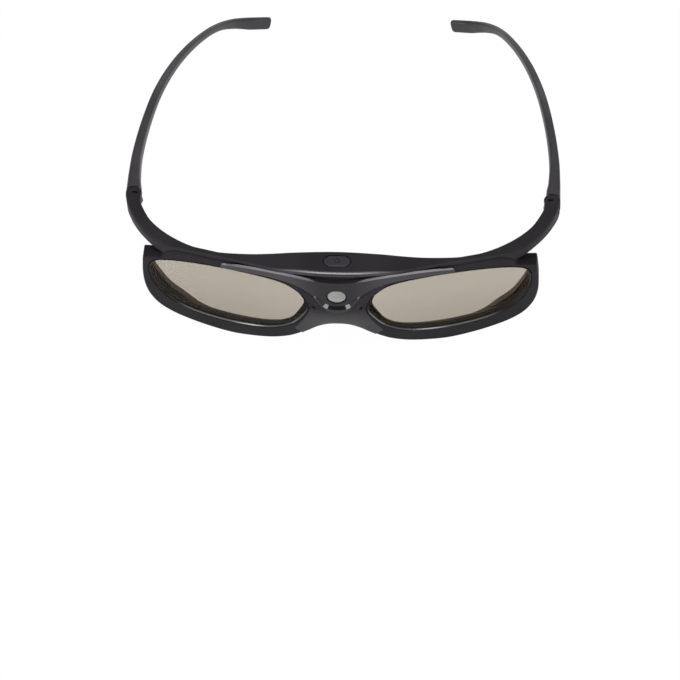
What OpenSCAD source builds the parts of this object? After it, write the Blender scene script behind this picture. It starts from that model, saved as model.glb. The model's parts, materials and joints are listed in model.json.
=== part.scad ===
// Active shutter 3d glasses: a bar with two lens rims, folding temples and a press button.
// Front faces -Y, +Z is up, left is the wearer's left (+X). The glasses stand on z = 0.

/* [Lenses] */
// Width of a lens opening, along the lens
lens_w = 63; // [59:0.5:66]
// Height of a lens opening
lens_h = 32.4; // [30:0.2:35]
// Gap between the two lens openings at the nose, seen from the front
lens_gap = 21.4; // [20:0.2:25]
// Height of the lowest edge of a lens opening above the table
lens_rise = 7; // [6.4:0.1:8.5]
// How far a lens reaches behind the lip of its rim, all round
lens_seat = 1.5; // [1.1:0.1:1.8]
// Thickness of the glass shutter cell
cell_t = 1.5; // [1.2:0.1:1.8]
// Thickness of one polariser film
film_t = 0.2; // [0.1:0.05:0.3]
// Thickness of the adhesive gasket in front of a lens
gasket_t = 0.2; // [0.1:0.05:0.3]
// Width of the flexible tail of a lens
flex_w = 4; // [3:0.5:6]
// Thickness of a flexible tail
flex_t = 0.15; // [0.1:0.05:0.25]

/* [Front] */
// Angle that each lens turns back from the nose
front_wrap = 14; // [11:1:16]
// Angle that the front leans forward at its top
front_tilt = 2; // [0:0.5:3]
// Radius of the front over the nose, seen from above
bridge_r = 52; // [46:1:60]
// Thickness of the lip in front of a lens
lip_t = 1; // [0.8:0.1:1.4]
// Thickness of the rear cover behind a lens
cover_t = 2.6; // [2:0.1:3.2]
// Width of the rim beside a lens, at the outer side
rim_side = 3.4; // [3:0.1:5]
// Height of the nose arch
nose_h = 18.3; // [17:0.1:19.5]
// Half width of the nose arch at its foot
nose_half = 20; // [18.5:0.5:21.5]
// Wall of the hollow mouldings
wall = 1.2; // [1:0.1:1.4]

/* [Bar] */
// Height of the bar's top above the lens openings
bar_rise = 6.6; // [6.4:0.1:7.4]
// How much lower the bar's top is at the hinges
bar_fall = 1.8; // [1:0.1:2.4]
// How far the bar's front lies behind the face at the middle
bar_set = 0.8; // [0.7:0.1:1.4]
// Depth of the bar at the middle
bar_depth = 11.8; // [11.4:0.1:13]
// Height of the bar at a hinge
bar_end_h = 7.6; // [7.2:0.1:9]
// Half length of the hollow for the electronics
bay_half = 30; // [28:0.5:31]

/* [Hinges and temples] */
// How far a hinge pin lies outside the rim
hinge_out = 4.2; // [3.8:0.1:5]
// How far a hinge pin lies behind the rim's outer corner
hinge_back = 24.6; // [22:0.2:28]
// Radius of the hinge barrel
hinge_r = 3.1; // [2.8:0.1:3.4]
// Radius of a hinge pin
pin_r = 0.8; // [0.6:0.05:1]
// Depth of a hinge pin below the top of its hole
pin_sink = 0.6; // [0.4:0.1:1]
// Height of the temple's tongue between the two ears
tongue_h = 3.4; // [3:0.1:3.8]
// Length of a temple behind its hinge
temple_len = 137.5; // [125:0.5:148]
// How far a temple's tip curls inwards
temple_in = 44.2; // [36:0.2:48]
// Height of the top of a temple's tip above the table
tip_top = 4.6; // [4.2:0.1:5]

/* [Centre trim and button] */
// Half width of the winged trim
trim_half = 44; // [40:0.5:47]
// Depth of the trim's seat in the face
trim_seat = 0.6; // [0.5:0.05:0.7]
// How far the trim stands out of the face
trim_proud = 0.6; // [0.4:0.1:0.9]
// How far the lip under the sensor stands out of the trim
trim_lip = 1; // [0.6:0.1:1.4]
// Radius of the sensor window
sensor_r = 3.4; // [3:0.1:3.8]
// Depth of the sensor window below the top of the lens openings
sensor_drop = 3.9; // [3.4:0.1:4.6]
// Length of the power button
button_w = 9.8; // [9:0.2:13]
// Depth of the power button
button_d = 5.1; // [4.8:0.1:5.6]
// How far the button stands out of the bar
button_proud = 0.2; // [0.1:0.05:0.5]
// Travel of the button
button_travel = 0.3; // [0.2:0.05:0.35]

/* [Electronics] */
// Thickness of a circuit board
board_t = 0.8; // [0.6:0.1:1]
// Width of the battery
battery_w = 16; // [12:0.5:16.4]
// Height of the battery
battery_h = 10.6; // [8:0.2:10.8]
// Thickness of the battery
battery_t = 4.2; // [3:0.1:4.6]
// Width of the charging socket
socket_w = 7.5; // [7:0.1:8]
// Height of the charging socket
socket_h = 2.4; // [2:0.1:2.5]
// Length of the charging socket
socket_len = 5; // [4:0.1:5.2]

/* [Fits] */
// Radial clearance of a hinge pin in the temple's tongue
pin_fit = 0.05; // [0.02:0.01:0.1]
// Radial clearance of a hinge pin in the bar's ears
ear_fit = 0.01; // [0.01:0.01:0.05]
// Gap between the temple and the bar round a hinge
hinge_gap = 0.3; // [0.2:0.05:0.4]
// Gap above and below the tongue
tongue_gap = 0.15; // [0.1:0.05:0.3]
// Gap round the power button
button_gap = 0.25; // [0.2:0.05:0.35]
// Room behind a lens and round it
lens_fit = 0.3; // [0.1:0.05:0.4]
// Gap between parts that are laid in
seat_fit = 0.1; // [0.05:0.05:0.2]

/* [Hidden] */
$fn = 48;

// Colours of the materials
matte_black = [0.17, 0.165, 0.175];
gloss_black = [0.08, 0.078, 0.085];
satin_grey = [0.28, 0.27, 0.29];
soft_black = [0.12, 0.12, 0.12];
lens_tint = [0.69, 0.66, 0.6, 0.6];
film_tint = [0.5, 0.48, 0.42, 0.5];
window_grey = [0.8, 0.8, 0.81];
board_green = [0.1, 0.35, 0.2];
chip_black = [0.1, 0.1, 0.11];
steel = [0.75, 0.75, 0.77];
foil_silver = [0.8, 0.8, 0.82];
copper_tan = [0.75, 0.5, 0.2];

// Depths behind the face: gasket, lens layers, back of the frame and back of the cover
gasket_d = lip_t;
film_d = gasket_d + gasket_t;
cell_d = film_d + film_t;
back_film_d = cell_d + cell_t;
lens_back_d = back_film_d + film_t;
frame_t = lens_back_d + lens_fit;
back_d = frame_t + cover_t;

// Lens places, seen from the front
eye_in = lens_gap / 2;
eye_span = lens_w * cos(front_wrap);
eye_x = eye_in + eye_span / 2;
eye_z = lens_rise + lens_h / 2;
lens_top = lens_rise + lens_h;
rim_half = eye_in + eye_span + rim_side;
// Place of a lens tail, as a share of the lens width from its middle towards the nose
flex_share = 0.28;

// Heights in the bar: the face ends below the bar's top, and the cover above the lens seats
face_drop = 2.8;
cover_rise = 0.5;
bar_top = lens_top + bar_rise;
bar_end_top = bar_top - bar_fall;
face_top = bar_top - face_drop;
cover_top = lens_top + lens_seat + cover_rise;
bar_under = cover_top + seat_fit;
bay_top = bar_top - wall;
board_top = cover_top + board_t;

// Hinge axis and its levels
hinge_x = rim_half + hinge_out;
hinge_y = face_y(rim_half) + hinge_back;
end_low = bar_end_top - bar_end_h;
tongue_z = end_low + (bar_end_h - tongue_h) / 2;
pin_low = end_low + pin_sink;
pin_len = bar_end_h - 2 * pin_sink;
outer_x = hinge_x + hinge_r + 0.2;
root_t = 2 * hinge_r - 0.8;
temple_drop = bar_end_top - tip_top;

// Inner end of the step where the bar drops behind the rim's outer corner
step_in = 10.6;
step_x = rim_half - step_in;
// Lower edge of the bar there, below the cover's top
step_low = cover_top - 1.2;
// Height of the rim's outer top corner, and how much its inner end is higher
corner_z = cover_top - 5.8;
corner_rise = 1.8;

// Pod for the battery behind the nose bridge
pod_half = battery_w / 2 + seat_fit + wall;
pod_low = cover_top - battery_h - 2 * wall - seat_fit;
pod_back = bar_set + bar_depth - wall;

// Button: half height of its short sides, length of its cut corners, and a flange that keeps it in
button_flat = 0.9;
button_cut = 1.9;
flange_t = 0.8;
flange_rim = 0.7;
flange_low = bay_top - seat_fit - flange_t;
plunger_h = 0.5;
plunger_r = 0.8;
plunger_room = 0.1;
// Middle of the button, as a share of the bar's depth
button_share = 0.6;
button_y = bar_set + button_share * bar_depth;

// Sensor
sensor_z = lens_top - sensor_drop;
diode_r = 2.5;
sensor_half = 4.6;
sensor_tall = 8.8;
// Depth of the flat sensor board, which lies against the curved frame at its two sides
sensor_d = bridge_r - sqrt(pow(bridge_r - frame_t, 2) - pow(sensor_half, 2)) + seat_fit;
// Sensor tail: its start above the sensor, and its end below the main board
flex_start = 2;
flex_end = 0.3;

// Main board with the socket and the light at its back edge, and the chip, measured from the hollow's ends
board_half = bay_half - 2;
socket_in = 17;
socket_x = bay_half - socket_in;
socket_y = bar_set + bar_depth - 1.4 - socket_len;
led_in = 14;
led_x = led_in - bay_half;
led_r = 0.8;
chip_in = 19;
chip_w = 4;
chip_h = 0.9;

// Places of the screws, seen from the front
screw_r = 0.7;
screw_head_r = 1.2;
screw_head_h = 0.8;
screw_places = [[eye_in * 0.82, nose_h + 2.9], [eye_in + eye_span * 0.952, lens_rise + lens_h * 0.139]];

// Nose pad: an arch behind the rear cover, held by two pegs
pad_t = 1.8;
pad_len = 4.5;
pad_up = 0.15;
pad_peg = [0.22 * nose_half, nose_h + 0.7];
pad_peg_r = 0.5;

reach = 90;
far = 60;

// A lens opening, as shares of its width and height, from the nose corner over the top
lens_shape = [
    [0, 0.70], [0.054, 0.86], [0.16, 0.97], [0.373, 1], [0.62, 0.985], [0.84, 0.93], [0.962, 0.845],
    [1, 0.68], [0.98, 0.433], [0.905, 0.21], [0.751, 0.056], [0.512, 0], [0.283, 0.053], [0.128, 0.217],
    [0.038, 0.495]
];

// Nose arch, as shares of its half width and height
nose_shape = [[0, 1], [0.2, 0.967], [0.4, 0.84], [0.6, 0.63], [0.8, 0.43]];

// Lower edge of a rim: share of the lens width, and rise above the table as a share of the lens height
rim_shape = [
    [0.15, 0.155], [0.25, 0.065], [0.38, 0.003], [0.52, -0.026], [0.68, 0.006], [0.81, 0.065],
    [0.905, 0.136], [0.979, 0.238]
];

// Winged trim: share of its half width, and height over the lens openings
trim_upper = [[0, 5.3], [0.36, 5.2], [0.64, 4.8], [0.82, 4.2], [0.985, 3.5]];
trim_lower = [
    [1, 0.5], [0.84, 0.8], [0.66, 1.1], [0.48, 1], [0.352, -0.2], [0.268, -2.2], [0.19, -5.6], [0.145, -8],
    [0.095, -10.3], [0.045, -12], [0, -12.6]
];
// How far the seat of the bridge cover runs out over the nose arch
bridge_over = 0.6;
// First point of the trim's lower edge that carries the lip
lip_from = 6;
lip_w = 2.4;

// Bar from above: share of the hinge's distance, and setback of its front behind the face
bar_front_shape = [
    [0, bar_set], [0.15, 0.75], [0.315, 0.4], [0.44, 0], [0.554, -0.2], [0.705, -0.2], [0.806, -0.2]
];
// Share of the hinge's distance, and the bar's back as a share of its depth at the middle
bar_back_shape = [[0, 1], [0.19, 0.78], [0.315, 0.52], [0.42, 0.335], [0.554, 0.18]];
// Corner of the bar, measured from the hinge axis: outer edge, then inner edge
corner_outer = [
    [-13.1, -26.1], [-9.5, -23.4], [-5.3, -18.6], [-2.1, -13.9], [0.6, -8.5], [2.4, -3.7], [3.2, 0]
];
corner_inner = [
    [-28.6, -28.5], [-22.3, -25.8], [-16.4, -22.1], [-11.6, -18.1], [-7.6, -13.6], [-4.8, -8.6],
    [-3, -4.1], [-2.7, 0]
];

// Temple stations: shares of its length, curl and drop, then its thickness and its height
temple_shape = [
    [0.005, 0, 0, root_t, bar_end_h], [0.04, 0, 0, root_t, bar_end_h - 0.1], [0.078, 0, 0, 4.6, 7],
    [0.162, 0.009, 0, 3.8, 6], [0.278, 0.049, 0, 3.4, 5], [0.402, 0.117, 0.012, 3.2, 4.2],
    [0.533, 0.207, 0.114, 2.9, 3.6], [0.663, 0.315, 0.277, 2.6, 3.2], [0.787, 0.436, 0.48, 2.4, 3],
    [0.874, 0.538, 0.657, 2.3, 3.2], [0.9325, 0.643, 0.792, 2.3, 4.2], [0.965, 0.74, 0.878, 2.4, 5],
    [0.986, 0.84, 0.947, 2.4, 5.6], [1, 1, 1, 2.4, 5.6]
];
temple_steps = 3;
section_sides = 20;
// Last stretch of a temple that rounds off to its end, in stations
tip_round = 0.4;
// How far the rounded tip stays short of the temple's length
tip_slack = 0.5;

// Middle of the whole length, which the part is centred on
temple_y = hinge_y + temple_len;
lip_top = lens_top + trim_lower[len(trim_lower) - 1].y + lip_w;
front_most = -(trim_proud + trim_lip) * cos(front_tilt) - (lip_top - eye_z) * sin(front_tilt);
middle_y = (temple_y - tip_slack + front_most) / 2;

// Front of the face from above, upright: an arc over the nose, then straight
function face_y(x) =
    abs(x) < bridge_r * sin(front_wrap)
    ? bridge_r - sqrt(bridge_r * bridge_r - x * x)
    : bridge_r * (1 - cos(front_wrap)) + (abs(x) - bridge_r * sin(front_wrap)) * tan(front_wrap);

function arc_point(a, d) = [(bridge_r - d) * sin(a), bridge_r - (bridge_r - d) * cos(a)];
function face_half(d) = concat(
    [for (a = [0 : 2 : front_wrap - 1]) arc_point(a, d)],
    [arc_point(front_wrap, d), arc_point(front_wrap, d) + reach * [cos(front_wrap), sin(front_wrap)]]
);

// Smooth curves through points
function blend(a, b, c, d, t) =
    0.5 * (2 * b + (c - a) * t + (2 * a - 5 * b + 4 * c - d) * t * t + (3 * b - a - 3 * c + d) * t * t * t);
function loop_curve(p, steps) = [
    for (i = [0 : len(p) - 1]) for (k = [0 : steps - 1])
        blend(p[(i + len(p) - 1) % len(p)], p[i], p[(i + 1) % len(p)], p[(i + 2) % len(p)], k / steps)
];
function line_at(p, s) =
    let (last = len(p) - 1, i = min(floor(s), last - 1))
    blend(p[max(i - 1, 0)], p[i], p[i + 1], p[min(i + 2, last)], s - i);
function line_curve(p, steps) = [for (k = [0 : (len(p) - 1) * steps]) line_at(p, k / steps)];
function turned(p) = [for (i = [len(p) - 1 : -1 : 0]) p[i]];
function flipped(p) = [for (q = p) [-q.x, q.y]];
// Closed outline from its half at x >= 0, which starts and ends at the middle
function whole(p) = concat(p, turned(flipped(p)));

// Outlines seen from the front, at x >= 0
function share_x(f) = eye_in + f * eye_span;
nose_points = [for (p = nose_shape) [p.x * nose_half, p.y * nose_h]];
rim_points = concat(
    nose_points,
    [for (p = rim_shape) [share_x(p.x), p.y * lens_h]],
    [
        [rim_half - 1.6, lens_rise + lens_h * 0.173], [rim_half - 0.2, lens_rise + lens_h * 0.355],
        [rim_half - 0.1, lens_rise + lens_h * 0.58], [rim_half - 0.8, lens_rise + lens_h * 0.8]
    ]
);
rim_curve = line_curve(rim_points, 4);
pad_edge = line_curve(nose_points, 3);
rim_corner = [[rim_half - 1.2, corner_z], [step_x + 2, corner_z + corner_rise]];
rim_outline = concat(
    rim_curve, rim_corner,
    [[step_x, cover_top], [step_x - 4, face_top], [0, face_top]]
);
cover_outline = concat(rim_curve, rim_corner, [[step_x, bar_top], [0, bar_top]]);
trim_low_curve = line_curve([for (p = trim_lower) [p.x * trim_half, lens_top + p.y]], 3);
trim_high_curve = line_curve([for (p = trim_upper) [p.x * trim_half, lens_top + p.y]], 3);
trim_outline = concat(trim_high_curve, trim_low_curve);
lip_edge = [for (i = [lip_from * 3 : len(trim_low_curve) - 1]) trim_low_curve[i]];
lip_inner = [for (p = lip_edge) p + [-0.15 * lip_w * p.x / lip_edge[0].x, lip_w]];
lip_outline = concat(turned(lip_edge), lip_inner);
// The bridge cover runs from the trim's V, beside the lens, to the rim's lower edge and along the nose arch
bridge_side = [
    for (p = [[-0.02, 0.78], [-0.014, 0.68], [0.015, 0.49], [0.058, 0.3], [0.105, 0.17], [0.125, 0.09]])
        [share_x(p.x), lens_rise + p.y * lens_h]
];
bridge_foot = shifted(turned(nose_points), -bridge_over);
bridge_outline = concat(turned(lip_edge), line_curve(bridge_side, 3), bridge_foot);

// Edges of the bar, seen from the front: the lower one outside the step, and the top
bar_steps = 10;
function low_point(f) = [step_x + f * (outer_x - step_x), step_low - (step_low - end_low) * pow(f, 4)];
low_edge = [for (i = [0 : bar_steps]) low_point(i / bar_steps)];
function high_point(f) = [f * hinge_x, bar_top - bar_fall * f * f];
bar_outline = concat(
    [[0, bar_under], [step_x, bar_under]],
    low_edge,
    [[hinge_x + far, end_low], [hinge_x + far, bar_end_top]],
    [for (i = [bar_steps : -1 : 0]) high_point(i / bar_steps)]
);

// Room for the rear cover under the bar
under_bar = concat(
    [[0, -far], [rim_half + far, -far], [rim_half + far, end_low]],
    [for (p = turned(low_edge)) p - [seat_fit, seat_fit]],
    [[step_x - seat_fit, cover_top], [0, cover_top]]
);

// Outlines seen from above, at x >= 0
hinge = [hinge_x, hinge_y];
bar_front = concat(
    [for (p = bar_front_shape) [p.x * hinge_x, face_y(p.x * hinge_x) + p.y]],
    [for (p = corner_outer) hinge + p]
);
bar_back = concat(
    [for (p = bar_back_shape) [p.x * hinge_x, face_y(p.x * hinge_x) + p.y * (bar_set + bar_depth)]],
    [for (p = corner_inner) hinge + p]
);
function shifted(p, dy) = [for (q = p) q + [0, dy]];

module both_sides() {
    children();
    mirror([1, 0, 0]) children();
}

module on_side(side) {
    if (side > 0) children();
    else mirror([1, 0, 0]) children();
}

module centred() {
    translate([0, -middle_y, 0]) children();
}

module tilted() {
    translate([0, 0, eye_z]) rotate([front_tilt, 0, 0]) translate([0, 0, -eye_z]) children();
}

// Upright layer of the curved front between two depths behind the face
module face_layer(d1, d2) {
    translate([0, 0, -far]) linear_extrude(3 * far)
        polygon(concat(
            turned(flipped(face_half(d1))), face_half(d1),
            turned(face_half(d2)), flipped(face_half(d2))
        ));
}

// Outline seen from the front, made into a long bar along Y
module front_prism(outline) {
    rotate([90, 0, 0]) translate([0, 0, -far]) linear_extrude(2 * far) polygon(outline);
}

module on_face(outline, d1, d2) {
    tilted() intersection() {
        face_layer(d1, d2);
        front_prism(outline);
    }
}

// Flat plate in the plane of the left lens, with the lens outline grown all round
module eye_place() {
    tilted() translate([eye_x, face_y(eye_x), eye_z]) rotate([0, 0, front_wrap])
        rotate([90, 0, 0]) children();
}

module eye_shape(grow) {
    size = [lens_w + 2 * grow, lens_h + 2 * grow];
    polygon(loop_curve([for (p = lens_shape) [(p.x - 0.5) * size.x, (p.y - 0.5) * size.y]], 4));
}

module eye_plate(grow, d1, d2) {
    eye_place() translate([0, 0, -d2]) linear_extrude(d2 - d1) eye_shape(grow);
}

module plan_prism(outline, z1, z2) {
    translate([0, 0, z1]) linear_extrude(z2 - z1) polygon(outline);
}

module bar() {
    plan = concat(line_curve(bar_front, 3), turned(line_curve(bar_back, 3)));
    intersection() {
        plan_prism(whole(plan), 0, bar_top + 1);
        front_prism(whole(bar_outline));
    }
}

// Room for the electronics, open to the back
module bay() {
    edge = [for (p = line_curve(shifted(bar_front, wall), 3)) if (p.x < bay_half + 6) p];
    intersection() {
        plan_prism(whole(concat(edge, [[bay_half + 6, far], [0, far]])), cover_top, bay_top);
        translate([-bay_half, -far, 0]) cube([2 * bay_half, 3 * far, far]);
    }
}

// Band along the bar's back between two distances in front of it
module back_band(d1, d2, half, z1, z2) {
    edge = line_curve(bar_back, 3);
    intersection() {
        plan_prism(whole(concat(shifted(edge, -d2), turned(shifted(edge, -d1)))), z1, z2);
        translate([-half, -far, 0]) cube([2 * half, 3 * far, far]);
    }
}

module button_shape(grow) {
    w = button_w / 2 + grow;
    d = button_d / 2 + grow;
    corner = [[w, button_flat], [w - button_cut, d]];
    polygon(concat(corner, turned(flipped(corner)), -corner, turned(flipped(-corner))));
}

// Round hole or pin along Y at a place seen from the front, between two distances behind the face
module face_pin(place, r, d1, d2) {
    tilted() translate([place.x, face_y(place.x) + d1, place.y]) rotate([-90, 0, 0])
        cylinder(r = r, h = d2 - d1);
}

module below_table() {
    translate([-2 * far, -2 * far, -far]) cube([4 * far, 6 * far, far]);
}

module hinge_cylinder(r, z1, z2) {
    translate([hinge_x, hinge_y, z1]) cylinder(r = r, h = z2 - z1);
}

// Room for a lens tail where it leaves the top of its pocket
module flex_slot() {
    eye_place() translate([-eye_span * flex_share - seat_fit, lens_h / 2, -frame_t - 1])
        cube([flex_w + 2 * seat_fit, bay_top - lens_top, frame_t + 1 - back_film_d]);
}

module main_frame() {
    color(matte_black) centred() difference() {
        union() {
            on_face(whole(rim_outline), 0, frame_t);
            bar();
            both_sides() hinge_cylinder(hinge_r, end_low, bar_end_top);
        }
        bay();
        on_face(whole(trim_outline), -far / 2, trim_seat);
        on_face(whole(bridge_outline), -far / 2, trim_seat);
        face_pin([0, sensor_z], diode_r + seat_fit, -1, frame_t + 1);
        translate([0, button_y, bay_top - 1]) linear_extrude(far) button_shape(button_gap);
        both_sides() {
            eye_plate(0, -far / 4, far / 4);
            eye_plate(lens_seat + seat_fit, gasket_d, frame_t + 0.05);
            flex_slot();
            hinge_cylinder(hinge_r + hinge_gap, tongue_z - tongue_gap, tongue_z + tongue_h + tongue_gap);
            hinge_cylinder(pin_r + ear_fit, end_low - 1, bar_end_top + 1);
            hinge_cylinder(pin_r + 0.3, bar_end_top - pin_sink, bar_end_top + 1);
            for (p = screw_places) face_pin(p, screw_r, trim_seat + 0.4, frame_t + 1);
        }
        below_table();
    }
}

module rear_cover() {
    color(matte_black) centred() difference() {
        union() {
            intersection() {
                on_face(whole(cover_outline), frame_t, back_d);
                front_prism(whole(under_bar));
            }
            intersection() {
                union() {
                    back_band(0, wall, bay_half - seat_fit, cover_top - 1, bay_top - seat_fit);
                    back_band(0, far / 2, bay_half - seat_fit, cover_top - 1, cover_top);
                    translate([-pod_half, 0, pod_low]) cube([2 * pod_half, pod_back, cover_top - pod_low]);
                }
                tilted() face_layer(frame_t, far);
            }
        }
        translate([-pod_half + wall, 0, pod_low + wall])
            cube([2 * (pod_half - wall), pod_back - wall, far]);
        translate([socket_x - seat_fit, socket_y + 1, board_top - seat_fit])
            cube([socket_w + 2 * seat_fit, far, socket_h + 2 * seat_fit]);
        led_shape(seat_fit);
        both_sides() {
            eye_plate(lens_seat * 0.4, -far / 4, far / 4);
            flex_slot();
            for (p = screw_places) {
                face_pin(p, screw_r + seat_fit, frame_t - 1, far / 2);
                face_pin(p, screw_head_r + seat_fit, screw_head_d(p), far / 2);
            }
            face_pin(pad_peg, pad_peg_r + pin_fit, frame_t + 0.6, far / 2);
        }
        below_table();
    }
}

// Depth of a screw head behind the face at its place
function screw_head_d(p) = back_d / (p.x < bridge_r * sin(front_wrap) ? 1 : cos(front_wrap)) - 1.4;

module cover_screws() {
    color(steel) centred() both_sides() for (p = screw_places) difference() {
        union() {
            face_pin(p, screw_r, trim_seat + 0.6, screw_head_d(p) + 0.1);
            face_pin(p, screw_head_r, screw_head_d(p), screw_head_d(p) + screw_head_h);
        }
        tilted() translate([p.x, face_y(p.x) + screw_head_d(p) + screw_head_h, p.y])
            for (a = [0, 90]) rotate([0, a, 0]) cube([2 * screw_head_r - 0.8, 0.8, 0.35], center = true);
    }
}

module centre_trim() {
    color(gloss_black) centred() difference() {
        union() {
            on_face(whole(trim_outline), -trim_proud, trim_seat);
            on_face(whole(lip_outline), -trim_proud - trim_lip, 0);
        }
        face_pin([0, sensor_z], sensor_r + seat_fit, -far / 2, far / 2);
    }
}

module bridge_cover() {
    color(satin_grey) centred() difference() {
        intersection() {
            on_face(whole(bridge_outline), 0, trim_seat);
            tilted() front_prism(whole(rim_outline));
        }
        both_sides() eye_plate(0, -far / 4, far / 4);
        below_table();
    }
}

module sensor_window() {
    color(window_grey) centred() face_pin([0, sensor_z], sensor_r, -trim_proud - 0.2, trim_seat);
}

module photodiode() {
    color(chip_black) centred() face_pin([0, sensor_z], diode_r, trim_seat + 0.2, sensor_d);
}

module sensor_board() {
    color(board_green) centred() tilted()
        translate([-sensor_half, sensor_d, sensor_z - sensor_tall / 2])
            cube([2 * sensor_half, board_t, sensor_tall]);
}

module sensor_flex() {
    color(copper_tan) centred() tilted() translate([-flex_w / 2, sensor_d + board_t, sensor_z + flex_start])
        cube([flex_w, flex_t, cover_top - flex_end - sensor_z - flex_start]);
}

module main_board() {
    color(board_green) centred() intersection() {
        bay();
        back_band(wall + seat_fit, far / 2, board_half, cover_top, board_top);
        tilted() face_layer(frame_t + 0.4, far);
    }
}

module driver_chip() {
    color(chip_black) centred() translate([chip_in - bay_half, button_y - chip_w / 2, board_top])
        cube([chip_w, chip_w, chip_h]);
}

module tact_switch() {
    color(chip_black) centred() difference() {
        translate([-1.75, button_y - 1.5, board_top]) cube([3.5, 3, flange_low - plunger_h - board_top]);
        translate([0, button_y, flange_low - plunger_h - button_travel - plunger_room])
            cylinder(r = plunger_r + pin_fit, h = far);
    }
}

module switch_plunger() {
    color(steel) centred() translate([0, button_y, flange_low - plunger_h])
        cylinder(r = plunger_r, h = plunger_h);
}

module power_button() {
    color(matte_black) centred() translate([0, button_y, flange_low]) {
        linear_extrude(bar_top + button_proud - flange_low) button_shape(0);
        linear_extrude(flange_t) button_shape(flange_rim);
    }
}

module battery() {
    color(foil_silver) centred()
        translate([-battery_w / 2, pod_back - wall - seat_fit - battery_t, pod_low + wall])
            cube([battery_w, battery_t, battery_h]);
}

module battery_leads() {
    color([0.7, 0.1, 0.1]) centred() for (x = [-5, -3.4])
        translate([x, pod_back - wall - seat_fit - battery_t / 2, pod_low + wall + battery_h])
            cylinder(r = 0.45, h = cover_top - pod_low - wall - battery_h);
}

module charging_socket() {
    color(steel) centred() translate([socket_x, socket_y, board_top]) difference() {
        cube([socket_w, socket_len, socket_h]);
        difference() {
            translate([0.35, 0.6, 0.35]) cube([socket_w - 0.7, socket_len, socket_h - 0.7]);
            translate([1.8, 0, socket_h / 2]) cube([socket_w - 3.6, socket_len - 0.8, 0.5]);
        }
    }
}

module led_shape(grow) {
    translate([led_x, socket_y, board_top + led_r + 0.15]) rotate([-90, 0, 0])
        cylinder(r = led_r + grow, h = bar_depth + bar_set - 0.7 - socket_y);
}

module status_led() {
    color(window_grey) centred() led_shape(0);
}

module nose_pad() {
    outline = concat(shifted(pad_edge, pad_up), turned(shifted(pad_edge, pad_up + pad_t)));
    color(soft_black) centred() union() {
        on_face(whole(outline), back_d, back_d + pad_len);
        both_sides() face_pin(pad_peg, pad_peg_r, frame_t + 0.8, back_d + 1);
    }
}

module hinge_pin(side) {
    color(steel) centred() on_side(side) hinge_cylinder(pin_r, pin_low, pin_low + pin_len);
}

// Temple: rounded sections carried along the line of its outer top edge
function temple_edge(q) =
    [outer_x - q[1] * temple_in, hinge_y + q[0] * temple_len, bar_end_top - q[2] * temple_drop];
function unit(v) = v / norm(v);
function temple_run(s) =
    let (last = len(temple_shape) - 1, a = max(s - 0.05, 0), b = min(s + 0.05, last))
    unit(temple_edge(line_at(temple_shape, b)) - temple_edge(line_at(temple_shape, a)));
function power_of(v) = sign(v) * pow(abs(v), 0.5);
function temple_ring(s) =
    let (
        q = line_at(temple_shape, s),
        run = temple_run(s),
        inward = unit(cross([0, 0, 1], run)),
        up = cross(run, inward),
        end = max(0, (s - (len(temple_shape) - 1 - tip_round)) / tip_round),
        shrink = sqrt(max(0.05, 1 - end * end)),
        middle = temple_edge(q) + inward * q[3] / 2 - up * q[4] / 2,
        half_t = shrink * q[3] / 2,
        half_h = shrink * q[4] / 2
    )
    [
        for (k = [0 : section_sides - 1]) let (a = 360 * k / section_sides)
            middle + inward * power_of(cos(a)) * half_t + up * power_of(sin(a)) * half_h
    ];
temple_stations = concat(
    [for (i = [0 : (len(temple_shape) - 1) * temple_steps - 2]) i / temple_steps],
    [for (e = [0.45, 0.7, 0.87, 0.97, 1]) len(temple_shape) - 1 - tip_round * (1 - e)]
);

module temple_sweep() {
    rings = len(temple_stations);
    n = section_sides;
    points = [for (s = temple_stations) each temple_ring(s)];
    sides = [
        for (i = [0 : rings - 2]) for (k = [0 : n - 1])
            let (a = i * n + k, b = i * n + (k + 1) % n)
            each [[a, a + n, b], [b, a + n, b + n]]
    ];
    last = (rings - 1) * n;
    ends = [for (k = [1 : n - 2]) each [[0, k, k + 1], [last, last + k + 1, last + k]]];
    polyhedron(points, concat(sides, ends));
}

module temple(side) {
    color(matte_black) centred() on_side(side) difference() {
        union() {
            temple_sweep();
            hinge_cylinder(hinge_r - 0.2, tongue_z, tongue_z + tongue_h);
        }
        hinge_cylinder(hinge_r + hinge_gap, tongue_z + tongue_h, bar_end_top + 5);
        hinge_cylinder(hinge_r + hinge_gap, end_low - 5, tongue_z);
        hinge_cylinder(pin_r + pin_fit, tongue_z - 1, tongue_z + tongue_h + 1);
        below_table();
    }
}

module polariser(side, d) {
    color(film_tint) centred() on_side(side) eye_plate(lens_seat, d, d + film_t);
}

module shutter_cell(side) {
    color(lens_tint) centred() on_side(side) eye_plate(lens_seat, cell_d, back_film_d);
}

module lens_gasket(side) {
    color(soft_black) centred() on_side(side) difference() {
        eye_plate(lens_seat, gasket_d, film_d);
        eye_plate(0.1, -1, far);
    }
}

// A tail from the back of the lens up to the main board
module lens_flex(side) {
    color(copper_tan) centred() on_side(side) eye_place()
        translate([-eye_span * flex_share, lens_h / 2 + 0.4, -lens_back_d - flex_t])
            cube([flex_w, board_top - lens_top, flex_t]);
}

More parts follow.
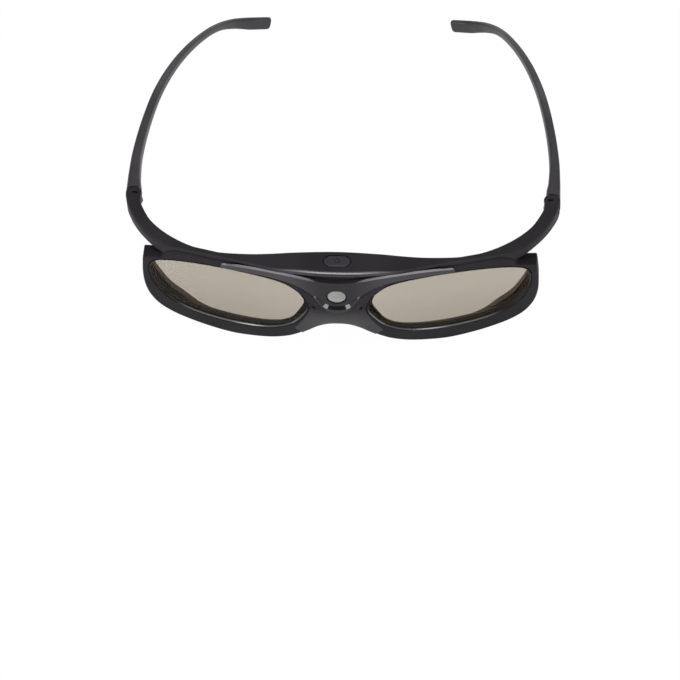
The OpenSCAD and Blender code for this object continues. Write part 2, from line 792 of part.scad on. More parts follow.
main_frame();
rear_cover();
centre_trim();
bridge_cover();
sensor_window();
photodiode();
sensor_board();
sensor_flex();
main_board();
driver_chip();
tact_switch();
switch_plunger();
power_button();
battery();
battery_leads();
charging_socket();
status_led();
nose_pad();
cover_screws();
temple(1);  // left_temple
temple(-1);  // right_temple
hinge_pin(1);  // left_hinge_pin
hinge_pin(-1);  // right_hinge_pin
polariser(1, film_d);  // left_front_polariser
polariser(-1, film_d);  // right_front_polariser
shutter_cell(1);  // left_shutter_cell
shutter_cell(-1);  // right_shutter_cell
polariser(1, back_film_d);  // left_rear_polariser
polariser(-1, back_film_d);  // right_rear_polariser
lens_gasket(1);  // left_lens_gasket
lens_gasket(-1);  // right_lens_gasket
lens_flex(1);  // left_lens_flex
lens_flex(-1);  // right_lens_flex
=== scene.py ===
"""Looks of the active shutter 3d glasses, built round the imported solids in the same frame."""
import json
import math

import bpy
import bmesh
import numpy as np
from mathutils import Matrix, Vector, geometry


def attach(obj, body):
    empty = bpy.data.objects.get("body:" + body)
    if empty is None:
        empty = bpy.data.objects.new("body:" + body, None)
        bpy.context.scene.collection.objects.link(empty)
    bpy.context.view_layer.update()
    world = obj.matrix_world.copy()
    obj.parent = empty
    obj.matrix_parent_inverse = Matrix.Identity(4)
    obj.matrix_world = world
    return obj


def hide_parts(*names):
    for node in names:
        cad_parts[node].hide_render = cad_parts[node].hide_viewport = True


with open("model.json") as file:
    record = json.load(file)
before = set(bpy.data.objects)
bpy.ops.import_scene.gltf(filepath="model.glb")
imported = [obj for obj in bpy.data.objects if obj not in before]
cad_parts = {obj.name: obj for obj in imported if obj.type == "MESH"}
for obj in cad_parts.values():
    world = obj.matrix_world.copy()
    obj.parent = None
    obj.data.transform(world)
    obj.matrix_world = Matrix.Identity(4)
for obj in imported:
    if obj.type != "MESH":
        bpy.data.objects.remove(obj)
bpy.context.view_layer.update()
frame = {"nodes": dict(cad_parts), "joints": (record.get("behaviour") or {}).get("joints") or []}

MM = 0.001

# Driving sizes of the part, in millimetres
LENS_W, LENS_H, LENS_GAP, LENS_RISE, LENS_SEAT = 63.0, 32.4, 21.4, 7.0, 1.5
WRAP, TILT = math.radians(14), math.radians(2)
BRIDGE_R, LIP_T, FRAME_T, BACK_D = 52.0, 1.0, 3.4, 6.0
RIM_SIDE, NOSE_H, NOSE_HALF, WALL = 3.4, 18.3, 20.0, 1.2
BAR_RISE, BAR_FALL, BAR_SET, BAR_DEPTH, BAR_END_H, BAY_HALF = 6.6, 1.8, 0.8, 11.8, 7.6, 30.0
HINGE_OUT, HINGE_BACK, HINGE_R, PIN_R, TONGUE_H = 4.2, 24.6, 3.1, 0.8, 3.4
TEMPLE_LEN, TEMPLE_IN, TIP_TOP, TIP_SLACK = 137.5, 44.2, 4.6, 0.5
TRIM_HALF, TRIM_SEAT, TRIM_PROUD, TRIM_LIP = 44.0, 0.6, 0.6, 1.0
SENSOR_R, SENSOR_DROP = 3.4, 3.9
BUTTON_W, BUTTON_D, BUTTON_PROUD, BUTTON_GAP, BUTTON_SHARE = 9.8, 5.1, 0.2, 0.25, 0.6
SEAT_FIT, HINGE_GAP, TONGUE_GAP = 0.1, 0.3, 0.15
SOCKET_X, SOCKET_W, BOARD_T = 13.0, 7.5, 0.8
LED_X, LED_R = -16.0, 0.8

# Settings of the meshes
ROUND_STEPS, CORNER_SHARE, MITRE_LEAST, UNFOLD_PASSES = 6, 0.45, 0.6, 6
LEAST_POINTS, ROW_SHARE, CLEAR_SHARE, BATCH = 12, 0.87, 0.62, 200
CUT_STEPS, FULL_SUPPORT, HOLE_STEP, MERGE = (0, 0.1, 0.9, 1), 0.1, 0.6, 1e-7

# Places that follow from the driving sizes
EYE_IN = LENS_GAP / 2
EYE_SPAN = LENS_W * math.cos(WRAP)
EYE_X = EYE_IN + EYE_SPAN / 2
EYE_Z = LENS_RISE + LENS_H / 2
LENS_TOP = LENS_RISE + LENS_H
RIM_HALF = EYE_IN + EYE_SPAN + RIM_SIDE
BAR_TOP = LENS_TOP + BAR_RISE
BAR_END_TOP = BAR_TOP - BAR_FALL
FACE_TOP = BAR_TOP - 2.8
COVER_TOP = LENS_TOP + LENS_SEAT + 0.5
BAR_UNDER = COVER_TOP + SEAT_FIT
BAY_TOP = BAR_TOP - WALL
BOARD_TOP = COVER_TOP + BOARD_T
END_LOW = BAR_END_TOP - BAR_END_H
TONGUE_Z = END_LOW + (BAR_END_H - TONGUE_H) / 2
EAR_LOW = TONGUE_Z + TONGUE_H + TONGUE_GAP
KNUCKLE_TOP = TONGUE_Z - TONGUE_GAP
STEP_X = RIM_HALF - 10.6
STEP_LOW = COVER_TOP - 1.2
CORNER_Z, CORNER_RISE = COVER_TOP - 5.8, 1.8
SENSOR_Z = LENS_TOP - SENSOR_DROP
BUTTON_Y = BAR_SET + BUTTON_SHARE * BAR_DEPTH


def layer_y(x, d):
    """Depth in plan of the curved face, d behind its front, at x."""
    a = np.abs(np.asarray(x, float))
    r = BRIDGE_R - d
    inner = r * math.sin(WRAP)
    arc = BRIDGE_R - np.sqrt(np.maximum(r * r - np.minimum(a, inner) ** 2, 0))
    return arc + np.maximum(a - inner, 0) * math.tan(WRAP)


HINGE_X = RIM_HALF + HINGE_OUT
HINGE_Y = float(layer_y(RIM_HALF, 0)) + HINGE_BACK
OUTER_X = HINGE_X + HINGE_R + 0.2
joint = next(j for j in frame["joints"] if j["name"] == "left_temple_fold")
MIDDLE_Y = HINGE_Y - joint["pos_m"][1] / MM


# Curves and outlines
def catmull(p, steps, closed=False):
    """Smooth curve through points."""
    p = np.asarray(p, float)
    n = len(p)
    out = []
    for i in range(n if closed else n - 1):
        if closed:
            a, b, c, d = p[(i - 1) % n], p[i], p[(i + 1) % n], p[(i + 2) % n]
        else:
            a, b, c, d = p[max(i - 1, 0)], p[i], p[i + 1], p[min(i + 2, n - 1)]
        for k in range(steps):
            t = k / steps
            out.append(0.5 * (2 * b + (c - a) * t + (2 * a - 5 * b + 4 * c - d) * t ** 2
                              + (3 * b - a - 3 * c + d) * t ** 3))
    if not closed:
        out.append(p[-1])
    return np.array(out)


def flipped(p):
    """The same points on the other side, in the opposite order."""
    return np.asarray(p, float)[::-1] * [-1, 1]


def both(p):
    """A chain from the far side to this one, from its half that starts at the middle."""
    p = np.asarray(p, float)
    return np.concatenate([flipped(p[1:]) if abs(p[0][0]) < 1e-9 else flipped(p), p])


def rounded(loop, radius, sharp=25):
    """Closed outline with its sharp corners rounded off."""
    loop = np.asarray(loop, float)
    n = len(loop)
    out = []
    for i in range(n):
        a, b, c = loop[i - 1], loop[i], loop[(i + 1) % n]
        u, v = a - b, c - b
        lu, lv = np.linalg.norm(u), np.linalg.norm(v)
        if lu < 1e-9:
            continue
        u, v = u / lu, v / max(lv, 1e-9)
        opening = math.acos(max(-1, min(1, float(u @ v))))
        if math.degrees(math.pi - opening) < sharp:
            out.append(b)
            continue
        cut = min(radius / math.tan(opening / 2), CORNER_SHARE * lu, CORNER_SHARE * lv)
        for k in range(ROUND_STEPS + 1):
            t = k / ROUND_STEPS
            out.append((1 - t) ** 2 * (b + u * cut) + 2 * t * (1 - t) * b + t * t * (b + v * cut))
    return np.array(out)


def resample(loop, step):
    """Closed outline with even steps."""
    ring = np.concatenate([loop, loop[:1]])
    length = np.concatenate([[0], np.cumsum(np.linalg.norm(np.diff(ring, axis=0), axis=1))])
    count = max(LEAST_POINTS, int(round(length[-1] / step)))
    at = np.linspace(0, length[-1], count, endpoint=False)
    return np.stack([np.interp(at, length, ring[:, k]) for k in range(2)], 1)


def area(loop):
    """Area of a closed outline, below 0 where it runs clockwise."""
    x, y = loop[:, 0], loop[:, 1]
    return 0.5 * float(np.sum(x * np.roll(y, -1) - np.roll(x, -1) * y))


def inset(loop, distance):
    """Outline moved to its left by a distance, one number or one for each point."""
    e = np.roll(loop, -1, axis=0) - loop
    e /= np.maximum(np.linalg.norm(e, axis=1, keepdims=True), 1e-12)
    left = np.stack([-e[:, 1], e[:, 0]], 1)
    m = left + np.roll(left, 1, axis=0)
    m /= np.maximum(np.linalg.norm(m, axis=1, keepdims=True), 1e-9)
    grow = 1 / np.maximum(np.sum(m * left, axis=1, keepdims=True), MITRE_LEAST)
    moved = loop + m * grow * np.reshape(distance, (-1, 1))
    for _ in range(UNFOLD_PASSES):
        folded = np.sum((np.roll(moved, -1, axis=0) - moved) * e, axis=1) < 0
        for i in np.nonzero(folded)[0]:
            j = (i + 1) % len(loop)
            moved[i] = moved[j] = (moved[i] + moved[j]) / 2
    return moved


def circle(x, y, r, count=48):
    """Points round a circle."""
    a = np.linspace(0, 2 * math.pi, count, endpoint=False)
    return np.stack([x + r * np.cos(a), y + r * np.sin(a)], 1)


def inside(points, loop):
    """True for each point within a closed outline."""
    x, y = points[:, 0][:, None], points[:, 1][:, None]
    x1, y1 = loop[:, 0][None], loop[:, 1][None]
    x2, y2 = np.roll(loop[:, 0], -1)[None], np.roll(loop[:, 1], -1)[None]
    cross = (y1 > y) != (y2 > y)
    with np.errstate(divide="ignore", invalid="ignore"):
        at = x1 + (y - y1) / (y2 - y1) * (x2 - x1)
    return (np.sum(cross & (x < at), axis=1) % 2) == 1


def rise(a, b, x):
    """Share from 0 to 1 as x goes from a to b."""
    t = np.clip((x - a) / (b - a), 0, 1)
    return t * t * (3 - 2 * t)


def smooth(a, b, x):
    """Share from 0 to 1 as the distance from the middle goes from a to b."""
    return rise(a, b, np.abs(x))


# Shells: each is a list of points and a list of faces
def grid_points(loops, grid):
    """Even points within an outline and outside its holes, clear of their edges."""
    base = np.concatenate(loops)
    low, high = loops[0].min(0), loops[0].max(0)
    rows = []
    for i, y in enumerate(np.arange(low[1], high[1], grid * ROW_SHARE)):
        xs = np.arange(low[0] + (i % 2) * grid / 2, high[0], grid)
        rows.append(np.stack([xs, np.full_like(xs, y)], 1))
    points = np.concatenate(rows) if rows else np.zeros((0, 2))
    keep = inside(points, loops[0])
    for hole in loops[1:]:
        keep &= ~inside(points, hole)
    points = points[keep]
    near = np.full(len(points), 1e9)
    for start in range(0, len(base), BATCH):
        gap = np.linalg.norm(points[:, None] - base[None, start:start + BATCH], axis=2)
        near = np.minimum(near, gap.min(1))
    return points[near > CLEAR_SHARE * grid]


def fill(loops, grid):
    """Triangles between an outer outline and its holes, told from the rest by crossings of the outlines."""
    extra = grid_points(loops, grid)
    border, first = [], 0
    for loop in loops:
        n = len(loop)
        border += [(first + i, first + (i + 1) % n) for i in range(n)]
        first += n
    points = np.concatenate(loops + [extra])
    made = geometry.delaunay_2d_cdt([Vector(p) for p in points], border, [], 0, MERGE)
    same = {i: o[0] for o in made[3] for i in o}
    triangles = [[made[3][i][0] for i in f] for f in made[2] if all(made[3][i] for i in f)]
    sides = {}
    for t, f in enumerate(triangles):
        for k in range(3):
            sides.setdefault(frozenset((f[k], f[(k + 1) % 3])), []).append(t)
    walls = {frozenset((same[a], same[b])) for a, b in border}
    within, waiting = {0: True}, [0]
    while waiting:
        t = waiting.pop()
        f = triangles[t]
        for k in range(3):
            edge = frozenset((f[k], f[(k + 1) % 3]))
            for other in sides[edge]:
                if other not in within:
                    within[other] = within[t] != (edge in walls)
                    waiting.append(other)
    outermost = [
        within[owners[0]] for edge, owners in sides.items() if len(owners) == 1 and edge in walls]
    kept = 2 * sum(outermost) > len(outermost)
    return extra, [f for t, f in enumerate(triangles) if within.get(t) == kept]


def at_points(value, loop):
    """A number, or what a function gives for the points of an outline."""
    return value(loop) if callable(value) else value


def round_edge(across, down=None):
    """Edge rounded off; its inset and its depth are numbers or functions of the outline's points."""
    def rings(loop):
        a = at_points(across, loop)
        b = a if down is None else at_points(down, loop)
        turns = [k / ROUND_STEPS * math.pi / 2 for k in range(ROUND_STEPS + 1)]
        return [(a * (1 - math.cos(t)), b * (1 - math.sin(t))) for t in turns]
    return rings


def flat_edge(across, down):
    """Edge cut off flat."""
    def rings(loop):
        a, b = at_points(across, loop), at_points(down, loop)
        return [(a * t, b * (1 - t)) for t in CUT_STEPS]
    return rings


def edge_rings(edge, loop, support):
    """Insets and depths from the wall to the flat, with one more ring that keeps the flat flat."""
    if not edge:
        return [(0.0, 0.0)]
    rings = (edge if callable(edge) else round_edge(edge))(loop)
    width = rings[-1][0]
    return rings + [(width + support * np.minimum(1, width / FULL_SUPPORT), 0.0)]


def plate(outer, holes, front, back, grid=1.8, support=0.2, step=0.7):
    """Closed plate. Each outline comes with its front and its back edge, and front and back turn a place on
    the outline and a depth below that side into points."""
    points, faces, rims = [], [], {"front": [], "back": []}
    count = 0

    def add(p):
        nonlocal count
        points.append(p)
        count += len(p)
        return count - len(p)

    for k, (loop, front_edge, back_edge) in enumerate([outer] + list(holes)):
        loop = resample(np.asarray(loop, float), step if k == 0 else min(step, HOLE_STEP))
        if (area(loop) > 0) != (k == 0):
            loop = loop[::-1]
        n = len(loop)
        chain = [(back, o, w) for o, w in edge_rings(back_edge, loop, support)][::-1]
        chain += [(front, o, w) for o, w in edge_rings(front_edge, loop, support)]
        rows = []
        for make, o, w in chain:
            flat = inset(loop, o)
            rows.append((add(make(flat[:, 0], flat[:, 1], w)), flat))
        for (a, _), (b, _) in zip(rows[:-1], rows[1:]):
            faces += [[a + i, a + (i + 1) % n, b + (i + 1) % n, b + i] for i in range(n)]
        rims["back"].append(rows[0])
        rims["front"].append(rows[-1])
    for side, make in (("front", front), ("back", back)):
        index = np.concatenate([np.arange(len(flat)) + at for at, flat in rims[side]])
        extra, triangles = fill([flat for _, flat in rims[side]], grid)
        if len(extra):
            at = add(make(extra[:, 0], extra[:, 1], 0.0))
            index = np.concatenate([index, np.arange(len(extra)) + at])
        faces += [[int(index[i]) for i in t] for t in triangles]
    return np.concatenate(points), faces


def tilted(x, y, z):
    """Points of the front, leaned forward with it and kept above the table."""
    up = z - EYE_Z
    return np.stack([
        x,
        y * math.cos(TILT) - up * math.sin(TILT),
        np.maximum(EYE_Z + y * math.sin(TILT) + up * math.cos(TILT), 0),
    ], 1)


def on_face(d1, d2):
    """Front and back of a layer of the curved face, for outlines seen from the front."""
    return (
        lambda x, z, w: tilted(x, layer_y(x, d1 + w), z),
        lambda x, z, w: tilted(x, layer_y(x, d2 - w), z),
    )


def in_lens(d1, d2):
    """Front and back of a flat layer in the plane of the left lens, for outlines round its middle."""
    def place(u, v, d):
        x = EYE_X + u * math.cos(WRAP) - d * math.sin(WRAP)
        y = float(layer_y(EYE_X, 0)) + u * math.sin(WRAP) + d * math.cos(WRAP)
        return tilted(x, y, EYE_Z + v)
    return (lambda u, v, w: place(u, v, d1 + w)), (lambda u, v, w: place(u, v, d2 - w))


def between(top, bottom):
    """Top and bottom of a piece for outlines seen from above; each is a height or a function of x."""
    high = top if callable(top) else lambda x: np.full_like(x, top)
    low = bottom if callable(bottom) else lambda x: np.full_like(x, bottom)
    return (
        lambda x, y, w: np.stack([x, y, high(x) - w], 1),
        lambda x, y, w: np.stack([x, y, low(x) + w], 1),
    )


def sweep(rings):
    """Closed skin over a row of rings with equal counts; the caps join points that face each other."""
    n = len(rings[0])
    faces = []
    for i in range(len(rings) - 1):
        a, b = i * n, (i + 1) * n
        faces += [[a + k, a + (k + 1) % n, b + (k + 1) % n, b + k] for k in range(n)]
    for at in (0, (len(rings) - 1) * n):
        for k in range(n // 2):
            quad = [at + k, at + k + 1, at + (n - k - 1) % n, at + (n - k) % n]
            faces.append(list(dict.fromkeys(quad)))
    return np.concatenate(rings), faces


def same_side(shell):
    """A shell where it was made, on the left."""
    return shell


def other_side(shell):
    """A shell mirrored to the right."""
    points, faces = shell
    return points * [-1, 1, 1], [f[::-1] for f in faces]


TURNS = (("left", same_side), ("right", other_side))


def piece(name, shells, material, body, nodes=(), sharp=38):
    """One object from its shells: smooth, with creases kept, riding on a body in place of CAD nodes."""
    points, faces, first = [], [], 0
    for p, f in shells:
        points.append(p)
        faces += [[i + first for i in face] for face in f]
        first += len(p)
    points = (np.concatenate(points) - [0, MIDDLE_Y, 0]) * MM
    mesh = bpy.data.meshes.new(name)
    mesh.from_pydata([tuple(p) for p in points], [], faces)
    bm = bmesh.new()
    bm.from_mesh(mesh)
    bmesh.ops.remove_doubles(bm, verts=bm.verts, dist=MERGE)
    bmesh.ops.recalc_face_normals(bm, faces=bm.faces)
    bm.to_mesh(mesh)
    bm.free()
    for polygon in mesh.polygons:
        polygon.use_smooth = True
    mesh.set_sharp_from_angle(angle=math.radians(sharp))
    mesh.materials.append(material)
    obj = bpy.data.objects.new(name, mesh)
    bpy.context.scene.collection.objects.link(obj)
    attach(obj, body)
    if nodes:
        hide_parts(*nodes)
    return obj


# Materials, with sizes in metres
SHADE_VARY, FINER = 0.15, 7
PANE_CLOUD, PANE_SMEAR = 40.0, 300.0
CLOUD_SHARE, DIM_FROM, DIM_TO, DIM_SHARE = 0.2, 0.006, 0.030, 0.85


def feed(tree, socket, value):
    """Give an input a value, or another node's output."""
    if isinstance(value, bpy.types.NodeSocket):
        tree.links.new(value, socket)
    else:
        socket.default_value = value


def node(tree, kind, *first, **values):
    """New shader node with what its first inputs get; in_NAME is an input, any other word a property."""
    made = tree.nodes.new(kind)
    for key, value in values.items():
        if key.startswith("in_"):
            feed(tree, made.inputs[key[3:].replace("_", " ")], value)
        else:
            setattr(made, key, value)
    for socket, value in zip(made.inputs, first):
        feed(tree, socket, value)
    return made


def noise(tree, coords, scale, detail=2.0, stretch=None):
    """Noise over the piece, stretched along its axes where asked."""
    if stretch:
        coords = node(tree, "ShaderNodeMapping", in_Vector=coords, in_Scale=stretch).outputs["Vector"]
    return node(tree, "ShaderNodeTexNoise", in_Vector=coords, in_Scale=scale, in_Detail=detail).outputs["Fac"]


def ramp(tree, fac, low, high, start=0.35, end=0.65):
    """Colour that goes from low to high as a value goes from start to end."""
    made = node(tree, "ShaderNodeValToRGB", in_Fac=fac)
    for element, place, colour in zip(made.color_ramp.elements, (start, end), (low, high)):
        element.position = place
        element.color = (*colour, 1)
    return made.outputs["Color"]


def span(tree, fac, low, high, start=0.0, end=1.0):
    """Value that goes from low to high as another goes from start to end."""
    return node(tree, "ShaderNodeMapRange", fac, start, end, low, high).outputs["Result"]


def new_material(name):
    """Material with its node tree, its main shader and the coordinates of the piece."""
    mat = bpy.data.materials.new(name)
    mat.use_nodes = True
    tree = mat.node_tree
    return mat, tree, tree.nodes["Principled BSDF"], node(tree, "ShaderNodeTexCoord").outputs["Object"]


def between_places(tree, coords, axis, begin, end, low, high):
    """Value that goes from low to high between two distances from the middle along an axis."""
    parts = node(tree, "ShaderNodeSeparateXYZ", coords)
    beside = node(tree, "ShaderNodeMath", parts.outputs[axis], operation="ABSOLUTE")
    return span(tree, beside.outputs[0], low, high, begin, end)


def surface(
        name, shade, rough, grain, depth, cloud=60.0, stretch=None, metallic=0.0, coat=0.0, level=0.5,
        tint=(1, 1, 1), fade=(), far_rough=None, index=1.5):
    """Surface whose shade varies in soft clouds, with uneven roughness and a fine grain. Each fade is an
    axis, its two ends and the share of the gloss left at the second, as far_rough is the roughness at the
    first fade's second end. X counts both ways from the middle."""
    mat, tree, shader, coords = new_material(name)
    low = tuple(c * (1 - SHADE_VARY) for c in shade)
    high = tuple(c * (1 + SHADE_VARY) for c in shade)
    if far_rough:
        uneven = between_places(tree, coords, *fade[0][:3], rough[0], far_rough)
    else:
        uneven = span(tree, noise(tree, coords, cloud * FINER, 4.0), *rough)
    height = noise(tree, coords, 1 / grain, 2.0, stretch)
    bump = node(tree, "ShaderNodeBump", in_Strength=1.0, in_Distance=depth, in_Height=height)
    for socket, value in (
            ("Base Color", ramp(tree, noise(tree, coords, cloud, 3.0), low, high)), ("Roughness", uneven),
            ("Normal", bump.outputs["Normal"]), ("Metallic", metallic), ("Coat Weight", coat),
            ("Specular IOR Level", level), ("Specular Tint", (*tint, 1)), ("IOR", index)):
        feed(tree, shader.inputs[socket], value)
    left = None
    for axis, begin, end, far in fade:
        near = 1.0 if left else level
        part = between_places(tree, coords, axis, begin, end, near, near * far)
        left = node(tree, "ShaderNodeMath", left, part, operation="MULTIPLY").outputs[0] if left else part
    if left:
        feed(tree, shader.inputs["Specular IOR Level"], left)
    return mat


def see_through(name, tint, smear, index):
    """Clear tinted pane with a glossy face, a faint cloud in its tint and less light near its lower edge."""
    mat, tree, shader, coords = new_material(name)
    tree.nodes.remove(shader)
    low = tuple(c * (1 - smear) for c in tint)
    dim = between_places(tree, coords, "Z", DIM_FROM, DIM_TO, 0.0, DIM_SHARE)
    cloud = node(
        tree, "ShaderNodeMath", noise(tree, coords, PANE_CLOUD), CLOUD_SHARE, dim, operation="MULTIPLY_ADD")
    shade = ramp(tree, cloud.outputs[0], low, tint, 0.0, 1.0)
    clear = node(tree, "ShaderNodeBsdfTransparent", in_Color=shade)
    uneven = span(tree, noise(tree, coords, PANE_SMEAR, 3.0), 0.02, 0.06)
    mirror = node(tree, "ShaderNodeBsdfGlossy", in_Roughness=uneven)
    fresnel = node(tree, "ShaderNodeFresnel", in_IOR=index)
    mix = node(
        tree, "ShaderNodeMixShader", fresnel.outputs["Fac"], clear.outputs["BSDF"], mirror.outputs["BSDF"])
    feed(tree, tree.nodes["Material Output"].inputs["Surface"], mix.outputs["Shader"])
    return mat


def striped(name, ground, line, pitch, rough):
    """Flat ground with even lines, as on a circuit board or a flexible tail."""
    mat, tree, shader, coords = new_material(name)
    wave = node(
        tree, "ShaderNodeTexWave", in_Vector=coords, in_Scale=math.pi / 10 / pitch, in_Distortion=2.0)
    feed(tree, shader.inputs["Base Color"], ramp(tree, wave.outputs["Fac"], ground, line, 0.6, 0.7))
    feed(tree, shader.inputs["Roughness"], span(tree, noise(tree, coords, 900.0), *rough))
    return mat


def second_material(obj, material, chosen):
    """Another material on the faces that a test picks."""
    obj.data.materials.append(material)
    for face in obj.data.polygons:
        face.material_index = int(chosen(face))


VIOLET = (0.98, 0.94, 1.0)
matte = surface(
    "matte_black_plastic", (0.0092, 0.0084, 0.0096), (0.46, 0.58), 0.00016, 0.00001, level=0.09, tint=VIOLET)
bar_black = surface(
    "bar_black_plastic", (0.0145, 0.0132, 0.0153), (0.48, 0.60), 0.00016, 0.000008, level=0.1, tint=VIOLET)
bar_edge = surface(
    "bar_edge_plastic", (0.0155, 0.0142, 0.0163), (0.22, 0.30), 0.00016, 0.000003, level=0.85,
    tint=(1, 0.96, 0.99), fade=[("X", 0.007, 0.026, 0.12)], far_rough=0.54)
arm_black = surface(
    "temple_black_plastic", (0.0255, 0.0237, 0.0265), (0.38, 0.46), 0.0004, 0.000001, level=0.30, tint=VIOLET)
deep_gloss = surface("deep_black_gloss", (0.002, 0.002, 0.0022), (0.06, 0.10), 0.0004, 0.000001, level=0.42)
bezel_black = surface(
    "bezel_black_plastic", (0.003, 0.003, 0.0032), (0.30, 0.40), 0.0004, 0.000002, level=0.1)
bezel_line = surface(
    "bezel_bright_edge", (0.006, 0.006, 0.006), (0.26, 0.30), 0.0004, 0.000001, level=0.9, index=2.0,
    fade=[("X", 0.026, 0.042, 0.13)])
key_black = surface(
    "button_black_plastic", (0.024, 0.0205, 0.0250), (0.40, 0.50), 0.0002, 0.000006, level=0.2, tint=VIOLET)
mark_black = surface("button_mark_print", (0.004, 0.004, 0.004), (0.5, 0.6), 0.0002, 0.000004, level=0.2)
# The trim's gloss grows 2.5 times out along the wings: a painted shade over the middle, under the bar's front
gloss = surface(
    "gloss_black_plastic", (0.009, 0.0080, 0.0096), (0.10, 0.18), 0.0004, 0.000002, level=0.19, tint=VIOLET,
    fade=[("X", 0.006, 0.019, 2.5)])
# The satin's gloss fades upwards to a twentieth, a painted shade under the V, and to two fifths towards both
# ends
satin = surface(
    "satin_black_plastic", (0.0205, 0.0190, 0.0215), (0.24, 0.32), 0.0003, 0.000004, level=0.5, tint=VIOLET,
    fade=[("Z", 0.0190, 0.0265, 0.05), ("X", 0.004, 0.0120, 0.40)])
soft = surface("soft_black_rubber", (0.014, 0.014, 0.014), (0.65, 0.85), 0.00025, 0.00002)
seal = surface("lens_seal_brown", (0.360, 0.300, 0.225), (0.7, 0.9), 0.0003, 0.00001, level=0.05)
pane_edge = surface("pane_edge_brown", (0.055, 0.048, 0.040), (0.7, 0.9), 0.0003, 0.00001, level=0.05)
window = surface(
    "sensor_grey_window", (0.15, 0.148, 0.146), (0.06, 0.12), 0.001, 0.000002, cloud=150.0, coat=0.6)
chip = surface("chip_black_epoxy", (0.013, 0.013, 0.014), (0.5, 0.7), 0.00012, 0.000008)
steel = surface(
    "turned_steel", (0.48, 0.48, 0.49), (0.22, 0.36), 0.0003, 0.000004, stretch=(1, 1, 12), metallic=1.0)
# Steel of the hinge pins, darkened to near black: painted shade, so that their recesses look dark
pin_steel_painted_shade = surface(
    "steel_darkened_as_painted_shade", (0.012, 0.012, 0.013), (0.35, 0.5), 0.0003, 0.000004, stretch=(1, 1, 12), metallic=0.6)
foil = surface("battery_foil", (0.56, 0.56, 0.57), (0.25, 0.45), 0.0008, 0.00003, metallic=0.9)
lead = surface("red_insulation", (0.35, 0.016, 0.012), (0.40, 0.55), 0.0002, 0.000006)
board = striped("green_solder_mask", (0.010, 0.075, 0.030), (0.022, 0.14, 0.055), 0.0007, (0.35, 0.5))
tail = striped("copper_tail", (0.30, 0.13, 0.03), (0.50, 0.26, 0.08), 0.0005, (0.3, 0.45))
glass = see_through("shutter_glass", (0.700, 0.670, 0.628), 0.12, 1.05)
film = see_through("polariser_film", (0.985, 0.98, 0.97), 0.005, 1.08)

# Outlines seen from the front
LENS_SHAPE = [
    (0.026, 0.71), (0.070, 0.86), (0.168, 0.97), (0.373, 1), (0.62, 0.985), (0.84, 0.93), (0.962, 0.845),
    (1, 0.68), (0.98, 0.433), (0.905, 0.21), (0.751, 0.056), (0.512, 0), (0.283, 0.053), (0.128, 0.217),
    (0.041, 0.45), (0.013, 0.59),
]
NOSE_SHAPE = [(0, 1), (0.2, 0.967), (0.4, 0.84), (0.6, 0.63), (0.8, 0.43)]
RIM_SHAPE = [
    (0.15, 0.155), (0.25, 0.065), (0.38, 0.003), (0.52, -0.026), (0.68, 0.006), (0.81, 0.065), (0.905, 0.136),
    (0.979, 0.238),
]


def share_x(f):
    """Place across an eye, as a share of its width from the nose."""
    return EYE_IN + f * EYE_SPAN


nose_points = [(x * NOSE_HALF, z * NOSE_H) for x, z in NOSE_SHAPE]
rim_points = nose_points + [(share_x(f), z * LENS_H) for f, z in RIM_SHAPE] + [
    (RIM_HALF - 1.6, LENS_RISE + LENS_H * 0.173), (RIM_HALF - 0.2, LENS_RISE + LENS_H * 0.355),
    (RIM_HALF - 0.1, LENS_RISE + LENS_H * 0.58), (RIM_HALF - 0.8, LENS_RISE + LENS_H * 0.8),
]
rim_low = catmull(both(rim_points), 8)
arch = np.array([p for p in rim_low if abs(p[0]) <= 0.8 * NOSE_HALF + 0.01])


def over_top(points):
    """Closed outline of the rims: their lower chain, then points over the top from right to left."""
    return np.concatenate([rim_low, points, flipped(points)])


lens_points = [((x - 0.5) * LENS_W, (z - 0.5) * LENS_H) for x, z in LENS_SHAPE]
lens_line = resample(catmull(lens_points, 8, closed=True), 0.5)


def lens_ring(grow):
    """Line at an even distance round the lens opening, in its own plane."""
    return inset(lens_line, -grow if area(lens_line) > 0 else grow)


def from_front(u, side, d):
    """Line in the plane of a lens, at a depth behind the face, seen from the front."""
    x = EYE_X + u[:, 0] * math.cos(WRAP) - d * math.sin(WRAP)
    return np.stack([side * x, EYE_Z + u[:, 1]], 1)


def lens_loop(side, grow, d):
    """Line at an even distance round the lens opening, at a depth behind the face, seen from the front."""
    return from_front(lens_ring(grow), side, d)


def outer_share(p):
    """1 at the outer lower corner of a lens, 0 elsewhere, in the plane of the lens."""
    return rise(14, 25, p[:, 0]) * rise(7, -4, p[:, 1])


def nose_share(p):
    """1 at the nose end of a lens, 0 elsewhere, in the plane of the lens."""
    return rise(-21, -30.5, p[:, 0])


SMOOTH_PASSES = 30


def narrowed(loop, width):
    """Opening made narrower by a width for each point, with its bends smoothed."""
    loop = inset(loop, width if area(loop) > 0 else -width)
    for _ in range(SMOOTH_PASSES):
        loop = loop / 2 + (np.roll(loop, 1, axis=0) + np.roll(loop, -1, axis=0)) / 4
    return loop


SIDES = (1, -1)

# Rims of the main frame: a lip in front of the lenses and a body round them
BEZEL_HOLE, BEZEL_W, BEZEL_T, BEZEL_PROUD = 0.75, 0.5, 0.55, 0.06
BEZEL_CUT, BEZEL_CUT_D = 0.21, 0.5
SEAL_IN, SEAL_OUT, SEAL_D = 0.03, 0.57, 3.35
RIM_CORNER, RIM_SUPPORT, TAB_ROUND, TAB_DROP, TAB_RUN = 0.8, 0.06, 0.2, 6, 5
rim_outline = rounded(over_top([
    (RIM_HALF - 1.2, CORNER_Z), (STEP_X + 2, CORNER_Z + CORNER_RISE), (STEP_X, COVER_TOP),
    (STEP_X - 4, FACE_TOP),
]), RIM_CORNER)

